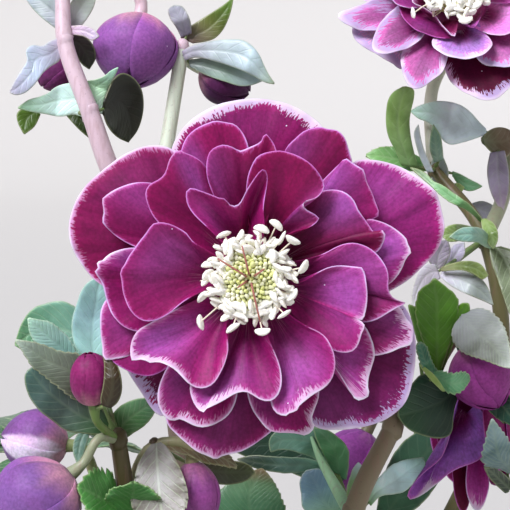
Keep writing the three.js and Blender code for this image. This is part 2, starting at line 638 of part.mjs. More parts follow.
// ---- the two tall stems behind on the left, which fork from one
const forkBack = seen(-22, 6, 56);
const forkHigh = seen(-34.4, 35.5, 50);
const highNode = seen(-39.8, 50.5, 53);
const topHigh = seen(-40.4, 60, 56);
const topPale = seen(-14.6, 49.5, 64);
addPiece(
  "back_stem",
  fuse([
    tube([...stemFoot(-7, 8, 3), V(-10, 4, 220), forkBack, seen(-30.4, 24, 50), forkHigh, highNode, topHigh],
      [3, 2.6, 2.1, 1.8], 14),
    tube([forkBack, seen(-18.4, 26, 62), topPale], [1.8, 1.7, 1.6], 4),
    budStalk(BUDS.nodding_bud_high, [topHigh, seen(-35, 67, 60), seen(-28, 66, 64)], [1.5, 1.4, 1.5, 1.6], 6),
    budStalk(BUDS.small_bud_high, [highNode, seen(-38, 53, 62)], [1.2, 1.1, 1.3], 3),
    budStalk(BUDS.hooded_bud_high, [topPale], [1.4, 1.3, 1.4], 2),
    bract(forkHigh, seen(-50, 34, 44), V(0.1, -0.7, 0.7), 10.5, 3, "fine"),
    bract(forkHigh, seen(-28, 45.6, 44), V(-0.2, -0.8, 0.5), 9, 1),
    bract(forkHigh, seen(-24, 31.5, 60), V(0.3, -0.8, 0.5), 12, 3.5),
    bract(highNode, seen(-51.4, 40.4, 48), V(-0.2, -0.9, 0.4), 7.5, 1.5),
    bract(topHigh, seen(-47.5, 67, 60), V(0.1, -0.9, 0.4), 9, 2),
    bract(topHigh, seen(-35.5, 54, 48), V(-0.2, -0.9, 0.3), 7, 2),
    bract(topPale, seen(5, 42, 56), V(0.15, -0.75, 0.65), 10.5, 4, "fine"),
    bract(topPale, seen(-3.8, 59.5, 64), V(0.2, -0.9, 0.4), 7, 1.5),
    bract(topPale, seen(-18, 57.5, 58), V(0.2, -0.9, 0.4), 4, 1),
  ]),
  MATERIALS.stem,
);

// ---- the stem on the right behind, under the second bloom
const forkRight = seen(50.4, 8.4, 76);
const highForkRight = seen(39.5, 23.5, 84);
const farForkRight = seen(56, 29, 100);
addPiece(
  "right_stem",
  fuse([
    tube([...stemFoot(8, 8, 3), V(20, 13, 220), seen(53, -26, 74), forkRight, highForkRight],
      [3, 2.6, 2.3, 2], 10),
    bloomStalk(BACK_AT, BACK_OUT, BLOOM.hubBottom, 18, [highForkRight, seen(39, 40, 90)],
      [1.9, 1.6, 1.8, 2.6], 6),
    tube([forkRight, seen(54.5, 18, 90), farForkRight], [1.9, 1.8, 1.6], 3, 5),
    bract(highForkRight, seen(34.8, 40.5, 74), V(-0.3, -1, 0.2), 7, 2.5),
    bract(highForkRight, seen(41.5, 30.5, 82), V(0.3, -0.9, 0.2), 5, 0.5),
    bract(highForkRight, seen(48.5, 20, 78), V(0.1, -0.7, 0.7), 4.5, 1),
    bract(farForkRight, seen(34.2, 35.6, 84), V(0.1, -0.75, 0.65), 10.5, 3, "fine"),
    bract(farForkRight, seen(39, 25.5, 92), V(0, -0.9, 0.4), 8, 1),
    bract(farForkRight, seen(51.5, 11.5, 92), V(0.1, -1, 0.1), 8, 0),
    bract(forkRight, seen(35, 23.2, 62), V(-0.5, -0.4, 0.8), 3.2, 1.5),
    bract(forkRight, seen(42.8, 9, 50), V(0.1, -0.7, 0.7), 7, 2.5, "fine"),
    bract(forkRight, seen(55.5, -8, 58), V(-0.3, -0.8, 0.5), 7, 3, "fine"),
    bract(forkRight, seen(40.6, 3, 68), V(0.1, -0.8, 0.6), 5.5, 2),
    bract(forkRight, seen(38, -2.5, 78), V(0.1, -0.9, 0.3), 9, 0),
    bract(seen(54, -44, 73), seen(51.6, -30.6, 38), V(-0.1, -0.9, 0.4), 11, 2, "fine"),
  ]),
  MATERIALS.stem,
);

// ---------------------------------------------------------------- basal leaves
// Each leaf: the way it leans (degrees from +X), how far out and how high its blade starts,
// and its size. Seven leaflets spread like fingers from the end of the stalk and droop.
const STALK = { foot: 24, bend: 36, radius: 2.4 }; // distances from the pot's axis, and thickness
const BLADE = { from: 2, middle: 4.5, droop: 0.2, arch: 0.11 };
const LEAVES = [
  { turn: 214, out: 92, high: 205, size: 1 },
  { turn: 258, out: 96, high: 192, size: 0.95 },
  { turn: 318, out: 94, high: 200, size: 1 },
  { turn: 4, out: 92, high: 214, size: 1.02 },
  { turn: 50, out: 72, high: 300, size: 0.95 },
  { turn: 100, out: 92, high: 226, size: 1.02 },
  { turn: 146, out: 66, high: 296, size: 0.95 },
  { turn: 168, out: 90, high: 226, size: 0.95 },
];
const FINGERS = [
  { spread: 0, long: 84, wide: 27 },
  { spread: 33, long: 78, wide: 25 },
  { spread: 68, long: 66, wide: 22 },
  { spread: 112, long: 46, wide: 17 },
];
LEAVES.forEach(({ turn, out, high, size }, i) => {
  const lean = V(Math.cos(rad(turn)), Math.sin(rad(turn)), 0);
  const side = V(-lean.y, lean.x, 0);
  const foot = stemFoot(lean.x * STALK.foot, lean.y * STALK.foot, STALK.radius);
  const hub = lean.clone().multiplyScalar(out).setZ(high);
  const bend = lean.clone().multiplyScalar(STALK.bend).setZ(lerp(SOIL_TOP, high, 0.55));
  const end = along(hub, lean, BLADE.from);
  const stalk = tube([...foot, bend, end], [STALK.radius, 2.1, 1.9, 2.2], 6, 5);
  const spreads = FINGERS.flatMap((f) => (f.spread ? [{ ...f, spread: -f.spread }, f] : [f]));
  spreads.sort((a, b) => a.spread - b.spread);
  const way = (degrees, length, drop = 0) =>
    hub.clone()
      .addScaledVector(lean, length * Math.cos(rad(degrees)))
      .addScaledVector(side, length * Math.sin(rad(degrees)))
      .add(V(0, 0, drop));
  const fingers = spreads.map(({ spread, long, wide }) => {
    const reach = long * size * (1 + 0.05 * Math.sin(GOLDEN * (i + spread)));
    const to = way(spread, reach, 6 * Math.cos(rad(spread)) - reach * BLADE.droop);
    const face = way(spread, 0.15, 1).sub(hub);
    return { from: way(spread, BLADE.from), to, face, wide: wide * size, arch: reach * BLADE.arch };
  });
  const edges = spreads.slice(1).map(({ spread }, k) => (spread + spreads[k].spread) / 2);
  const outermost = -spreads[0].spread + 20;
  const corners = [-outermost, ...edges, outermost].map((a) => way(a, BLADE.middle));
  addPiece(`leaf_${i + 1}`, stalk.add(fingeredBlade(hub, V(0, 0, 1), corners, fingers)), MATERIALS.leaf);
});

// ---------------------------------------------------------------- pot and soil
const outerAt = (z) => lerp(POT.base, POT.rim - POT.rimStep, z / POT.height);
const innerAt = (z) => outerAt(z) - POT.wall;
const rimFoot = POT.height - POT.rimDepth;
const edge = 2; // how far the pot's edges are rounded off
const potBody = turned([
  [0, 0], [POT.base - edge, 0], [POT.base, edge],
  [outerAt(rimFoot), rimFoot], [POT.rim - edge, rimFoot + edge],
  [POT.rim, POT.height - edge], [POT.rim - edge, POT.height],
  [innerAt(POT.height) + edge, POT.height], [innerAt(POT.height), POT.height - edge],
  [innerAt(POT.floor), POT.floor], [0, POT.floor],
], POT.sides);
const drains = Array.from({ length: DRAIN.count }, (_, i) => {
  const a = (2 * Math.PI * i) / DRAIN.count;
  const bore = new THREE.CylinderGeometry(DRAIN.radius, DRAIN.radius, POT.floor * 3, 10).rotateX(Math.PI / 2);
  return solidOfGeometry(bore.translate(Math.cos(a) * DRAIN.ring, Math.sin(a) * DRAIN.ring, 0));
});
addPiece("pot", drains.reduce((body, bore) => body.subtract(bore), potBody), MATERIALS.clay);

const soilBottom = POT.floor + GAP;
const soilBody = turned([
  [0, soilBottom], [innerAt(soilBottom) - 2 * GAP, soilBottom], [innerAt(SOIL_TOP) - 2 * GAP, SOIL_TOP],
  [innerAt(SOIL_TOP) * 0.62, SOIL_TOP + SOIL_CROWN * 0.6], [innerAt(SOIL_TOP) * 0.3, CROWN_TOP],
  [0, CROWN_TOP],
], POT.sides);
const holeLength = 2 * ROOTING;
const holes = footprints.map(({ x, y, radius }) => {
  const wide = radius + 3 * GAP;
  const hole = new THREE.CylinderGeometry(wide, wide, holeLength, STEM_SIDES).rotateX(Math.PI / 2);
  return solidOfGeometry(hole.translate(x, y, CROWN_TOP - ROOTING - GAP + holeLength / 2));
});
addPiece("soil", holes.reduce((body, hole) => body.subtract(hole), soilBody), MATERIALS.soil);

export default plant;
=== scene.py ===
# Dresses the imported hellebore: fine petals, stamens, buds, toothed bracts, leaves, pot and soil.
# Everything is worked out in millimetres in the frame's own axes and made in metres at the end.
import math
from functools import partial

import bmesh
import bpy
import numpy as np
from bpy.props import FloatProperty, FloatVectorProperty, IntProperty, PointerProperty
from mathutils import Matrix, Vector


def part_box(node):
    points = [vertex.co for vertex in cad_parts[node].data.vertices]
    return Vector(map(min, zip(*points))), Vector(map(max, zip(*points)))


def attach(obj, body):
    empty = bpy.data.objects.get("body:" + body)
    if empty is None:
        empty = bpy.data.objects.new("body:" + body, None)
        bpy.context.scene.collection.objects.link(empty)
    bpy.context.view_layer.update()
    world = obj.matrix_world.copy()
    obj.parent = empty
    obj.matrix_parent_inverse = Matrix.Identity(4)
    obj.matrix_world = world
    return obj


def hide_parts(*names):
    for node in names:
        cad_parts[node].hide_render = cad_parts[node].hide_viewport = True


bl_info = {
    "name": "Potted Hellebore",
    "version": (1, 0, 0),
    "blender": (4, 5, 0),
    "location": "3D View > Sidebar > Hellebore",
    "description": "Grows the petals, leaves, stems, pot and soil of a double hellebore round its solids",
    "category": "Object",
}

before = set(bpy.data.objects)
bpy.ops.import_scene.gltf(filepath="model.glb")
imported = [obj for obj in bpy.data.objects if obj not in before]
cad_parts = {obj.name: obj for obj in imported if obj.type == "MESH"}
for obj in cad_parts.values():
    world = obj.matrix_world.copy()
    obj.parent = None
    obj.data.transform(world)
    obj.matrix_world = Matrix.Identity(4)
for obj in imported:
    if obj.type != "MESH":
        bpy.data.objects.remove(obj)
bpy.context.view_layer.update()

# ---------------------------------------------------------------- places and small tools
MM = 0.001
GOLDEN = 2.39996  # the golden angle, which spreads repeats without a pattern


def vec(x, y, z):
    return np.array((x, y, z), float)


def unit(v):
    return v / np.maximum(np.linalg.norm(v, axis=-1, keepdims=True), 1e-9)


def lerp(a, b, k):
    return a + (b - a) * k


def bell(x, width):
    return np.exp(-((x / width) ** 2))


def smooth(low, high, x):
    k = np.clip((x - low) / (high - low), 0, 1)
    return k * k * (3 - 2 * k)


# The open bloom's middle, how far it looks up, and the eye that every place is seen from.
BLOOM_AT = vec(0, -70, 355)
LOOK_UP = math.radians(6)
RIGHT = vec(1, 0, 0)
UP = vec(0, math.sin(LOOK_UP), math.cos(LOOK_UP))
OUT = np.cross(RIGHT, UP)
SIGHT = 480
EYE = BLOOM_AT + RIGHT * 1 + UP * 5 + OUT * SIGHT
FRAME_WIDE = 109.65  # what the view is wide in the bloom's plane


def seen(right, up, back):
    """The point that appears at (right, up) in the bloom's plane and lies back behind it."""
    right, up, back = (np.asarray(value, float)[..., None] for value in (right, up, back))
    level = BLOOM_AT + RIGHT * right + UP * up
    return EYE + (level - EYE) * (1 + back / SIGHT)


def head(at, out, up=(0, 0, 1)):
    """A bloom's own place and axes: +Z looks along out and +Y leans towards up."""
    z = unit(np.array(out, float))
    x = unit(np.cross(np.array(up, float), z))
    return at, np.stack([x, np.cross(z, x), z])


def set_in(points, place):
    at, axes = place
    return at + points @ axes


def along(at, out, depth):
    return at + unit(np.array(out, float)) * depth


def linear(code):
    """A #rrggbb colour as Blender's linear RGB."""
    parts = [int(code[i : i + 2], 16) / 255 for i in (1, 3, 5)]
    return tuple(c / 12.92 if c <= 0.04045 else ((c + 0.055) / 1.055) ** 2.4 for c in parts)


def catmull(points, step):
    """A smooth line through the points, cut into pieces about step long."""
    points = np.array(points, float)
    ends = np.vstack([2 * points[0] - points[1], points, 2 * points[-1] - points[-2]])
    line = [points[:1]]
    reached = [np.zeros(1)]
    for i in range(len(points) - 1):
        p0, p1, p2, p3 = ends[i : i + 4]
        count = max(2, int(np.linalg.norm(p2 - p1) / step))
        gaps = [max(np.linalg.norm(b - a), 1e-6) ** 0.5 for a, b in ((p0, p1), (p1, p2), (p2, p3))]
        knots = np.cumsum([0] + gaps)
        x = np.linspace(knots[1], knots[2], count + 1)[1:, None]
        a1 = p0 + (p1 - p0) * (x - knots[0]) / (knots[1] - knots[0])
        a2 = p1 + (p2 - p1) * (x - knots[1]) / (knots[2] - knots[1])
        a3 = p2 + (p3 - p2) * (x - knots[2]) / (knots[3] - knots[2])
        b1 = a1 + (a2 - a1) * (x - knots[0]) / (knots[2] - knots[0])
        b2 = a2 + (a3 - a2) * (x - knots[1]) / (knots[3] - knots[1])
        line.append(b1 + (b2 - b1) * (x - knots[1]) / (knots[2] - knots[1]))
        reached.append(i + np.linspace(0, 1, count + 1)[1:])
    return np.vstack(line), np.concatenate(reached) / (len(points) - 1)


def spread(value, loop):
    """A value of each grid point, given to both sides of a sheet and its rim."""
    if np.ndim(value) < 3:
        return value
    value = value.reshape(-1, 3)
    return np.vstack([value, value, value[loop]])


# ---------------------------------------------------------------- meshes
class Skin:
    """Gathers the closed sheets of one piece, with what the materials read from each point.

    way is the place on the sheet, tone its colour, with painted light and shade on some petals, and trait up
    to three shares or sizes."""

    def __init__(self):
        self.points, self.faces, self.way, self.tone, self.trait = [], [], [], [], []
        self.count = 0

    def add(self, points, faces, way, tone, trait):
        n = len(points)
        self.points.append(points)
        self.faces.extend([[i + self.count for i in face] for face in faces])
        self.way.append(np.broadcast_to(way, (n, 3)))
        self.tone.append(np.broadcast_to(tone, (n, 3)))
        self.trait.append(np.broadcast_to(trait, (n, 3)))
        self.count += n

    def sheet(self, middle, thick, way, tone, trait, rim=0.12):
        """A closed sheet of that thickness round a grid of points, rounded along its rim."""
        rows, cols = middle.shape[:2]
        ds = np.gradient(middle, axis=0)
        dt = np.gradient(middle, axis=1)
        normal = unit(np.cross(ds, dt))
        thick = np.broadcast_to(thick, (rows, cols))[..., None]
        upper = (middle + normal * thick / 2).reshape(-1, 3)
        lower = (middle - normal * thick / 2).reshape(-1, 3)
        n = rows * cols
        at = np.arange(n).reshape(rows, cols)
        loop = np.concatenate([at[:, 0], at[-1, 1:], at[-2::-1, -1], at[0, -2:0:-1]])
        flat = middle.reshape(-1, 3)
        ahead = flat[np.roll(loop, -1)] - flat[np.roll(loop, 1)]
        outward = unit(np.cross(ahead, normal.reshape(-1, 3)[loop]))
        edge = flat[loop] + outward * rim
        a, b = at[:-1, :-1].ravel(), at[1:, :-1].ravel()
        c, d = at[1:, 1:].ravel(), at[:-1, 1:].ravel()
        top = np.stack([a, b, c, d], 1)
        bottom = np.stack([a, d, c, b], 1) + n
        here = np.arange(len(loop))
        there = np.roll(here, -1)
        side = np.stack([loop, 2 * n + here, 2 * n + there, loop[there]], 1)
        under = np.stack([2 * n + here, n + loop, n + loop[there], 2 * n + there], 1)
        faces = np.vstack([top, bottom, side, under]).tolist()
        points = np.vstack([upper, lower, edge])
        way = way.reshape(-1, 3)
        whole = np.vstack([way, way, way[loop]])
        tone, trait = (spread(value, loop) for value in (tone, trait))
        self.add(points, faces, whole, tone, trait)

    def build(self, name, material):
        mesh = bpy.data.meshes.new(name)
        mesh.from_pydata((np.vstack(self.points) * MM).tolist(), [], self.faces)
        for label, kind in (("way", self.way), ("tone", self.tone), ("trait", self.trait)):
            attribute = mesh.attributes.new(label, "FLOAT_VECTOR", "POINT")
            attribute.data.foreach_set("vector", np.vstack(kind).astype(np.float32).ravel())
        mesh.materials.append(material)
        mesh.shade_smooth()
        mesh.update()
        piece = bpy.data.objects.new(name, mesh)
        bpy.context.scene.collection.objects.link(piece)
        return piece


def settle(piece, slot, *nodes):
    """Hangs the finished piece under the root body and hides the solids that it replaces."""
    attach(piece, "root")
    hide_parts(*nodes)


# ---------------------------------------------------------------- nodes
def feed(tree, node, inputs):
    """Gives a node its inputs, in order or by name: values, colours, sockets, or nodes in use."""
    for key, value in inputs.items() if isinstance(inputs, dict) else enumerate(inputs):
        socket = node.inputs[key]
        if isinstance(value, bpy.types.Node):
            value = next(output for output in value.outputs if output.enabled)
        if isinstance(value, bpy.types.NodeSocket):
            tree.links.new(value, socket)
        else:
            socket.default_value = (*value, 1) if socket.type == "RGBA" else value


def add(tree, kind, inputs=(), **settings):
    """Adds a node with its settings and inputs; a kind that names no family is of the tree's own."""
    family = "GeometryNode" if tree.type == "GEOMETRY" else "ShaderNode"
    node = tree.nodes.new(kind if "Node" in kind else family + kind)
    for key, value in settings.items():
        setattr(node, key, value)
    feed(tree, node, inputs)
    return node


def new_material(name, inputs):
    """A material, what adds a node to it, and what feeds its Principled surface."""
    material = bpy.data.materials.new(name)
    material.use_nodes = True
    tree = material.node_tree
    surface = partial(feed, tree, tree.nodes["Principled BSDF"])
    surface(inputs)
    return material, partial(add, tree), surface


def read_way(node, label):
    """The three numbers that every point keeps under that name."""
    found = node("Attribute", attribute_name=label)
    return node("SeparateXYZ", (found.outputs["Vector"],)).outputs


def petal_tissue(colours):
    """Satin petal: plum over crimson, fanned by fine veins, with a feathered white-lilac rim.

    The skin is nearly matt with a faint sheen, and a lilac sheen is painted where each petal faces the light."""
    material, node, surface = new_material("Satin petal tissue", {
        "Roughness": 0.55, "IOR": 1.4, "Sheen Roughness": 0.4, "Specular IOR Level": 0.25,
        "Sheen Weight": 0.05, "Sheen Tint": linear("#c9a6f2"), "Coat Weight": 0.08,
        "Coat Roughness": 0.45, "Coat Tint": linear("#e6d8ff"), "Subsurface Weight": 0.1,
        "Subsurface Radius": (1, 0.15, 0.4), "Subsurface Scale": 0.0012,
    })
    arc, out, margin = read_way(node, "way")
    painted_sheen, rim, seed = read_way(node, "trait")
    tone = node("Attribute", attribute_name="tone")
    place = node("TexCoord").outputs["Object"]

    # arc is in mm along the rim, so veins are a millimetre apart there and close up at the foot
    fan = node("CombineXYZ", (arc, out, seed))
    fine = node("VectorMath", (fan, (1.4, 2.6, 1)), operation="MULTIPLY")
    streak = node("TexNoise", {"Vector": fine, "Scale": 1, "Detail": 3})
    broad = node("VectorMath", (fan, (0.2, 2.2, 1)), operation="MULTIPLY")
    cloud = node("TexNoise", {"Vector": broad, "Scale": 1, "Detail": 3})
    inward = node("CombineXYZ", (arc, margin, seed))
    hairs = node("VectorMath", (inward, (2.6, 0.9, 1)), operation="MULTIPLY")
    fringe = node("TexNoise", {"Vector": hairs, "Scale": 1, "Detail": 5})
    drift = node("TexNoise", {"Vector": place, "Scale": 130, "Detail": 1})
    sway = node("MapRange", (drift, 0.35, 0.65, 0.55, 1.4))
    local = node("Math", (rim, sway), operation="MULTIPLY")

    patch = node("MapRange", (cloud, 0.4, 0.7, 0, 0.5))
    glow = node("MapRange", (margin, 0.3, 3.2, 0.6, 0))
    rimmed_glow = node("Math", (glow, rim), operation="MULTIPLY", use_clamp=True)
    bright = node("Math", (patch, rimmed_glow), operation="MAXIMUM")
    # the patches are redder and half as bright again as the petal round them
    redder = node("VectorMath", (tone, (1.9, 1.1, 1.55)), operation="MULTIPLY")
    base = node("Mix", {0: bright, 6: tone, 7: redder}, data_type="RGBA")
    # painted sheen: a lilac share, broken up by the clouds, painted where the petal faces the light
    painted_sheen_breakup = node("MapRange", (cloud, 0.3, 0.7, 0.55, 1))
    painted_sheen_share = node("Math", (painted_sheen, painted_sheen_breakup), operation="MULTIPLY")
    with_painted_sheen = node("Mix", {0: painted_sheen_share, 6: base, 7: colours.petal_painted_sheen}, data_type="RGBA")
    vein = node("MapRange", (streak, 0.34, 0.5, 0.2, 0))
    veined = node("Mix", {0: vein, 6: with_painted_sheen, 7: colours.petal_vein}, data_type="RGBA")

    speckle = node("TexNoise", {"Vector": place, "Scale": 1500, "Detail": 2})
    grain = node("MapRange", (speckle, 0.3, 0.7, 0.82, 1.16))
    grained = node("VectorMath", {0: veined, "Scale": grain}, operation="SCALE")

    # pale streaks spread from the throat of the bloom
    throat = node("MapRange", (out, 0.12, 0.42, 1, 0), interpolation_type="SMOOTHSTEP")
    ray = node("MapRange", (streak, 0.55, 0.66, 0, 0.5))
    flash = node("Math", (throat, ray), operation="MULTIPLY")
    lit = node("Mix", {0: flash, 6: grained, 7: colours.throat}, data_type="RGBA")

    # the rim: a white-lilac band, feathered inwards, and a thin clear edge
    feather = node("MapRange", (fringe, 0.32, 0.68, 0.2, 1.5))
    reach = node("Math", (feather, local), operation="MULTIPLY")
    # a wide rim is solid nearly up to its ragged inner side, a narrow one fades
    solid = node("MapRange", (rim, 1.1, 1.9, 0.1, 0.75))
    inner = node("Math", (reach, solid), operation="MULTIPLY")
    full = node("MapRange", (rim, 1.1, 1.9, 0.75, 0.95))
    band = node("MapRange", (margin, inner, reach, full, 0))
    white = node("MapRange", (rim, 0.7, 2, 0, 0.9))
    hue = node("Mix", {0: white, 6: colours.petal_blush, 7: colours.petal_rim}, data_type="RGBA")
    # painted shade: the widest rims are turned from white to a greyed lilac, like the band of a petal in
    # shade
    painted_rim_shade = node("MapRange", (rim, 2, 2.2, 0, 0.6))
    shaded_rim_hue = node("Mix", {0: painted_rim_shade, 6: hue, 7: linear("#9c86c4")}, data_type="RGBA")
    feathered = node("Mix", {0: band, 6: lit, 7: shaded_rim_hue}, data_type="RGBA")
    thin = node("Math", (local, 0.28), operation="MULTIPLY")
    edge = node("MapRange", (margin, 0.03, thin, 1, 0))
    strong = node("MapRange", (rim, 0.1, 0.7, 0, 1))
    broken = node("MapRange", (drift, 0.35, 0.6, 0.3, 1))
    share = node("Math", (strong, broken), operation="MULTIPLY")
    clear = node("Math", (edge, share), operation="MULTIPLY")
    pure = node("MapRange", (rim, 0.4, 1.3, 0, 1))
    line = node("Mix", {0: pure, 6: colours.petal_lilac, 7: colours.petal_rim}, data_type="RGBA")
    rimmed = node("Mix", {0: clear, 6: feathered, 7: line}, data_type="RGBA")
    # fallen pollen: a grain 0.3 mm wide in one 4 mm cell out of six
    grains = node("TexVoronoi", {"Vector": place, "Scale": 250}).outputs
    chosen = node("SeparateColor", (grains["Color"],))
    kept = node("Math", (chosen, 0.84), operation="GREATER_THAN")
    near = node("Math", (grains["Distance"], 0.04), operation="LESS_THAN")
    grain_here = node("Math", (kept, near), operation="MULTIPLY")
    dusted = node("Mix", {0: grain_here, 6: rimmed, 7: colours.petal_rim}, data_type="RGBA")

    height = node("Math", (streak, speckle), operation="ADD")
    bump = node("Bump", {"Height": height, "Strength": 0.2, "Distance": 0.0001})
    surface({"Base Color": dusted, "Normal": bump, "Coat Normal": bump})
    return material


def leaf_skin(colours):
    """Leathery leaf with a waxy skin: a pale midrib, side veins that run forward, and a fine net."""
    material, node, surface = new_material("Leathery leaf skin", {
        "Roughness": 0.4, "IOR": 1.45, "Coat Roughness": 0.3, "Coat Weight": 0.15,
        "Subsurface Weight": 0.06, "Subsurface Radius": (0.5, 1, 0.3), "Subsurface Scale": 0.001,
    })
    across, out, margin = read_way(node, "way")
    strength, spacing, silver = read_way(node, "trait")
    tone = node("Attribute", attribute_name="tone")
    place = node("TexCoord").outputs["Object"]

    side = node("Math", (across,), operation="ABSOLUTE")
    lean = node("Math", (side, 1.15), operation="MULTIPLY")
    back = node("Math", (out, lean), operation="SUBTRACT")
    wobble = node("TexNoise", {"Vector": place, "Scale": 220, "Detail": 1})
    bent = node("Math", (back, wobble), operation="ADD")
    count = node("Math", (bent, spacing), operation="DIVIDE")
    cycle = node("Math", (count,), operation="FRACT")
    off = node("Math", (cycle, 0.5), operation="SUBTRACT")
    far = node("Math", (off,), operation="ABSOLUTE")
    gap = node("Math", (far, spacing), operation="MULTIPLY")
    branch = node("MapRange", (gap, 0.06, 0.3, 1, 0))
    middle = node("MapRange", (side, 0.2, 0.55, 1, 0))
    net = node("TexVoronoi", {"Vector": place, "Scale": 700}, feature="DISTANCE_TO_EDGE")
    mesh = node("MapRange", (net, 0, 0.12, 0.25, 0))
    fine = node("Math", (branch, mesh), operation="MAXIMUM")
    veins = node("Math", (fine, middle), operation="MAXIMUM")
    drawn = node("Math", (veins, strength), operation="MULTIPLY")

    mottle = node("TexNoise", {"Vector": place, "Scale": 140, "Detail": 4})
    dusk = node("MapRange", (mottle, 0.35, 0.65, 0.72, 1.22))
    blade = node("VectorMath", {0: tone, "Scale": dusk}, operation="SCALE")
    pale = node("Mix", {0: drawn, 6: blade, 7: colours.leaf_vein}, data_type="RGBA")
    hem = node("MapRange", (margin, 0.06, 0.3, 0.28, 0))
    hemmed = node("Mix", {0: hem, 6: pale, 7: colours.leaf_hem}, data_type="RGBA")
    frost = node("MapRange", (mottle, 0.3, 0.7, 0, 1))
    frosted = node("Math", (frost, silver), operation="MULTIPLY")
    done = node("Mix", {0: frosted, 6: hemmed, 7: colours.leaf_wax}, data_type="RGBA")

    groove = node("Math", (veins, -1), operation="MULTIPLY")
    bump = node("Bump", {"Height": groove, "Strength": 0.35, "Distance": 0.00015})
    surface({"Base Color": done, "Normal": bump})
    return material


def stem_skin(colours):
    """Smooth fleshy stem, ribbed lengthways and flushed with red, greener inside the fork."""
    material, node, surface = new_material("Fleshy stem skin", {
        "Roughness": 0.42, "IOR": 1.45, "Subsurface Weight": 0.1, "Subsurface Radius": (1, 0.8, 0.5),
        "Subsurface Scale": 0.0015,
    })
    tone = node("Attribute", attribute_name="tone")
    place = node("TexCoord").outputs["Object"]
    long = node("VectorMath", (place, (1, 1, 0.12)), operation="MULTIPLY")
    flush = node("TexNoise", {"Vector": long, "Scale": 900, "Detail": 3})
    share = node("MapRange", (flush, 0.5, 0.75, 0, 0.35))
    flushed = node("Mix", {0: share, 6: tone, 7: colours.stem_flush}, data_type="RGBA")
    speck = node("TexNoise", {"Vector": place, "Scale": 1900, "Detail": 2})
    dots = node("MapRange", (speck, 0.64, 0.76, 0, 0.3))
    dotted = node("Mix", {0: dots, 6: flushed, 7: colours.petal_vein}, data_type="RGBA")
    bump = node("Bump", {"Height": flush, "Strength": 0.25, "Distance": 0.0002})
    surface({"Base Color": dotted, "Normal": bump})
    return material


def pollen_cream(colours):
    """Matt powdery anthers: cream at the rim of the tuft and yellow-green in its middle."""
    material, node, surface = new_material("Powdery anther", {
        "Roughness": 0.7, "IOR": 1.4, "Subsurface Weight": 0.15, "Subsurface Radius": (1, 0.9, 0.5),
        "Subsurface Scale": 0.0006,
    })
    tone = node("Attribute", attribute_name="tone")
    place = node("TexCoord").outputs["Object"]
    dust = node("TexNoise", {"Vector": place, "Scale": 1500, "Detail": 3})
    share = node("MapRange", (dust, 0.3, 0.7, 0.86, 1.08))
    dusty = node("VectorMath", {0: tone, "Scale": share}, operation="SCALE")
    bump = node("Bump", {"Height": dust, "Strength": 0.4, "Distance": 0.0001})
    surface({"Base Color": dusty, "Normal": bump})
    return material


def terracotta(colours):
    """Unglazed fired clay, dry and matt, with a faint bloom of lime and darker flecks."""
    material, node, surface = new_material("Fired terracotta", {"Roughness": 0.88, "IOR": 1.5})
    place = node("TexCoord").outputs["Object"]
    cloud = node("TexNoise", {"Vector": place, "Scale": 22, "Detail": 6})
    grain = node("TexNoise", {"Vector": place, "Scale": 900, "Detail": 4})
    warm = node("MapRange", (cloud, 0.35, 0.65, 0, 0.5))
    body = node("Mix", {0: warm, 6: colours.clay, 7: colours.clay_dark}, data_type="RGBA")
    lime = node("MapRange", (cloud, 0.55, 0.78, 0, 0.55))
    limed = node("Mix", {0: lime, 6: body, 7: linear("#d8b8a0")}, data_type="RGBA")
    fleck = node("MapRange", (grain, 0.62, 0.75, 0, 0.6))
    flecked = node("Mix", {0: fleck, 6: limed, 7: colours.clay_dark}, data_type="RGBA")
    rings = node("TexWave", {"Vector": place, "Scale": 90, "Distortion": 1.2}, bands_direction="Z")
    turned = node("Math", (rings.outputs[1], 0.5), operation="MULTIPLY")
    relief = node("Math", (turned, grain), operation="ADD")
    bump = node("Bump", {"Height": relief, "Strength": 0.35, "Distance": 0.0006})
    surface({"Base Color": flecked, "Normal": bump})
    return material


def potting_soil(colours):
    """Dark peaty compost, crumbly and dull, with paler bark and grit among it."""
    material, node, surface = new_material("Crumbly potting soil", {"Roughness": 0.95, "IOR": 1.4})
    place = node("TexCoord").outputs["Object"]
    lump = node("TexNoise", {"Vector": place, "Scale": 180, "Detail": 8, "Roughness": 0.65})
    shades = node("ValToRGB", (lump,))
    ramp = shades.color_ramp
    ramp.elements[0].position = 0.35
    ramp.elements[0].color = (*linear("#1b120c"), 1)
    ramp.elements[1].position = 0.72
    ramp.elements[1].color = (*linear("#6a5240"), 1)
    bump = node("Bump", {"Height": lump, "Strength": 0.8, "Distance": 0.001})
    surface({"Base Color": shades, "Normal": bump})
    return material


# ---------------------------------------------------------------- node trees that repeat or follow
def new_tree(name, **inputs):
    """A Geometry Nodes tree with the named inputs, each (kind, value), and what adds its nodes."""
    tree = bpy.data.node_groups.new(name, "GeometryNodeTree")
    tree.interface.new_socket("Geometry", in_out="INPUT", socket_type="NodeSocketGeometry")
    for label, (kind, value) in inputs.items():
        socket = tree.interface.new_socket(label.replace("_", " "), in_out="INPUT", socket_type=kind)
        if value is not None:
            socket.default_value = value
    tree.interface.new_socket("Geometry", in_out="OUTPUT", socket_type="NodeSocketGeometry")
    node = partial(add, tree)
    return tree, node, node("NodeGroupInput").outputs


